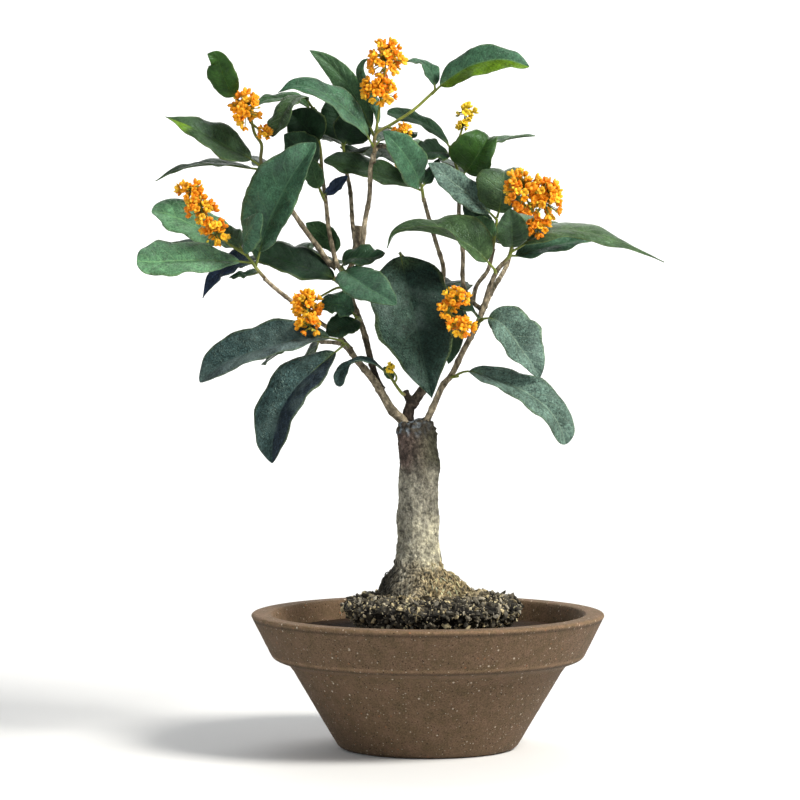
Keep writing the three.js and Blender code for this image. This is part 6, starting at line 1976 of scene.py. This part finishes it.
def make_floor():
    profile = [(FLOOR_FRONT, 0.0), (FLOOR_BACK, 0.0)]
    for i in range(1, CURVE_PARTS + 1):
        angle = math.pi / 2 * i / CURVE_PARTS
        rise = CURVE_RADIUS - CURVE_RADIUS * math.cos(angle)
        profile.append((FLOOR_BACK + CURVE_RADIUS * math.sin(angle), rise))
    profile.append((FLOOR_BACK + CURVE_RADIUS, WALL_TOP))
    points = [(x, y, z) for y, z in profile for x in (-FLOOR_SIDE, FLOOR_SIDE)]
    faces = [(2 * i, 2 * i + 1, 2 * i + 3, 2 * i + 2) for i in range(len(profile) - 1)]
    mesh = bpy.data.meshes.new("floor")
    mesh.from_pydata(points, [], faces)
    mesh.polygons.foreach_set("use_smooth", [True] * len(faces))
    material, _, surface = new_material("floor", 0.9, 0.2)
    surface.inputs["Base Color"].default_value = (*FLOOR_WHITE, 1)
    mesh.materials.append(material)
    shown = bpy.data.objects.new("floor", mesh)
    bpy.context.scene.collection.objects.link(shown)


make_floor()
print("floor:", 2 * FLOOR_SIDE, "m wide")

# %% [markdown]
# A soft key light stands above on the right, where the photo's shadows fall away from. A weak
# fill on the left and the pale surroundings keep the shadows open, and a light of its own keeps
# the backdrop white. Colours go to the picture as they are, with no film curve, so that white
# stays white and the leaves stay deep.

# %% Lights
LIGHTS = [
    # name, place, size, power, tint, target
    ("key", (1.5, -0.9, 1.7), 0.8, 77, (1.0, 0.97, 0.91), (0, 0, 0.25)),
    ("fill", (-1.3, -1.6, 0.8), 1.0, 8, (0.90, 0.95, 1.0), (0, 0, 0.25)),
    ("backdrop", (0.0, 2.2, 3.2), 2.0, 120, (1, 1, 1), (0, 4, 1.2)),
]
SKY_TINT = (0.95, 0.98, 1.0)
SKY_STRENGTH = 0.23


def add_light(name, place, size, power, tint, target):
    light = bpy.data.lights.new(name, "AREA")
    light.size = size
    light.energy = power
    light.color = tint
    shown = bpy.data.objects.new(name, light)
    shown.location = place
    shown.rotation_euler = (Vector(target) - Vector(place)).to_track_quat("-Z", "Y").to_euler()
    bpy.context.scene.collection.objects.link(shown)


def set_surroundings(tint, strength):
    world = bpy.data.worlds.new("surroundings")
    world.use_nodes = True
    sky = world.node_tree.nodes["Background"]
    sky.inputs["Color"].default_value = (*tint, 1)
    sky.inputs["Strength"].default_value = strength
    bpy.context.scene.world = world


for settings in LIGHTS:
    add_light(*settings)
set_surroundings(SKY_TINT, SKY_STRENGTH)
bpy.context.scene.view_settings.view_transform = "Standard"
print("lights:", [settings[0] for settings in LIGHTS])

# %% [markdown]
# The camera has the place and the long lens of the photo. It stands 2.6 m away and looks down a
# little, which shows the bowl's rim as a thin ellipse.

# %% Camera
CAMERA_PLACE = Vector((-19.6, -2597.3, 362.1)) * MM
CAMERA_TARGET = Vector((-19.6, 0, 244.2)) * MM
SENSOR_WIDTH = 36
FOCAL_LENGTH = 167.1
FAR_CLIP = 20


def make_camera():
    camera = bpy.data.cameras.new("camera")
    camera.sensor_width = SENSOR_WIDTH
    camera.lens = FOCAL_LENGTH
    camera.clip_end = FAR_CLIP
    shown = bpy.data.objects.new("camera", camera)
    shown.location = CAMERA_PLACE
    shown.rotation_euler = (CAMERA_TARGET - CAMERA_PLACE).to_track_quat("-Z", "Y").to_euler()
    bpy.context.scene.collection.objects.link(shown)
    bpy.context.scene.camera = shown


make_camera()
print("camera distance:", round((CAMERA_TARGET - CAMERA_PLACE).length, 2), "m")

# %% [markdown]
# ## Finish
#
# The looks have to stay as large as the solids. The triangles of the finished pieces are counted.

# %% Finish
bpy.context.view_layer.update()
triangles = {}
for shown in bpy.data.objects:
    if shown.type == "MESH" and shown.data.color_attributes:
        triangles[shown.name] = sum(len(face.vertices) - 2 for face in shown.data.polygons)
print("triangles:", sum(triangles.values()), sorted(triangles.items(), key=lambda item: -item[1])[:6])
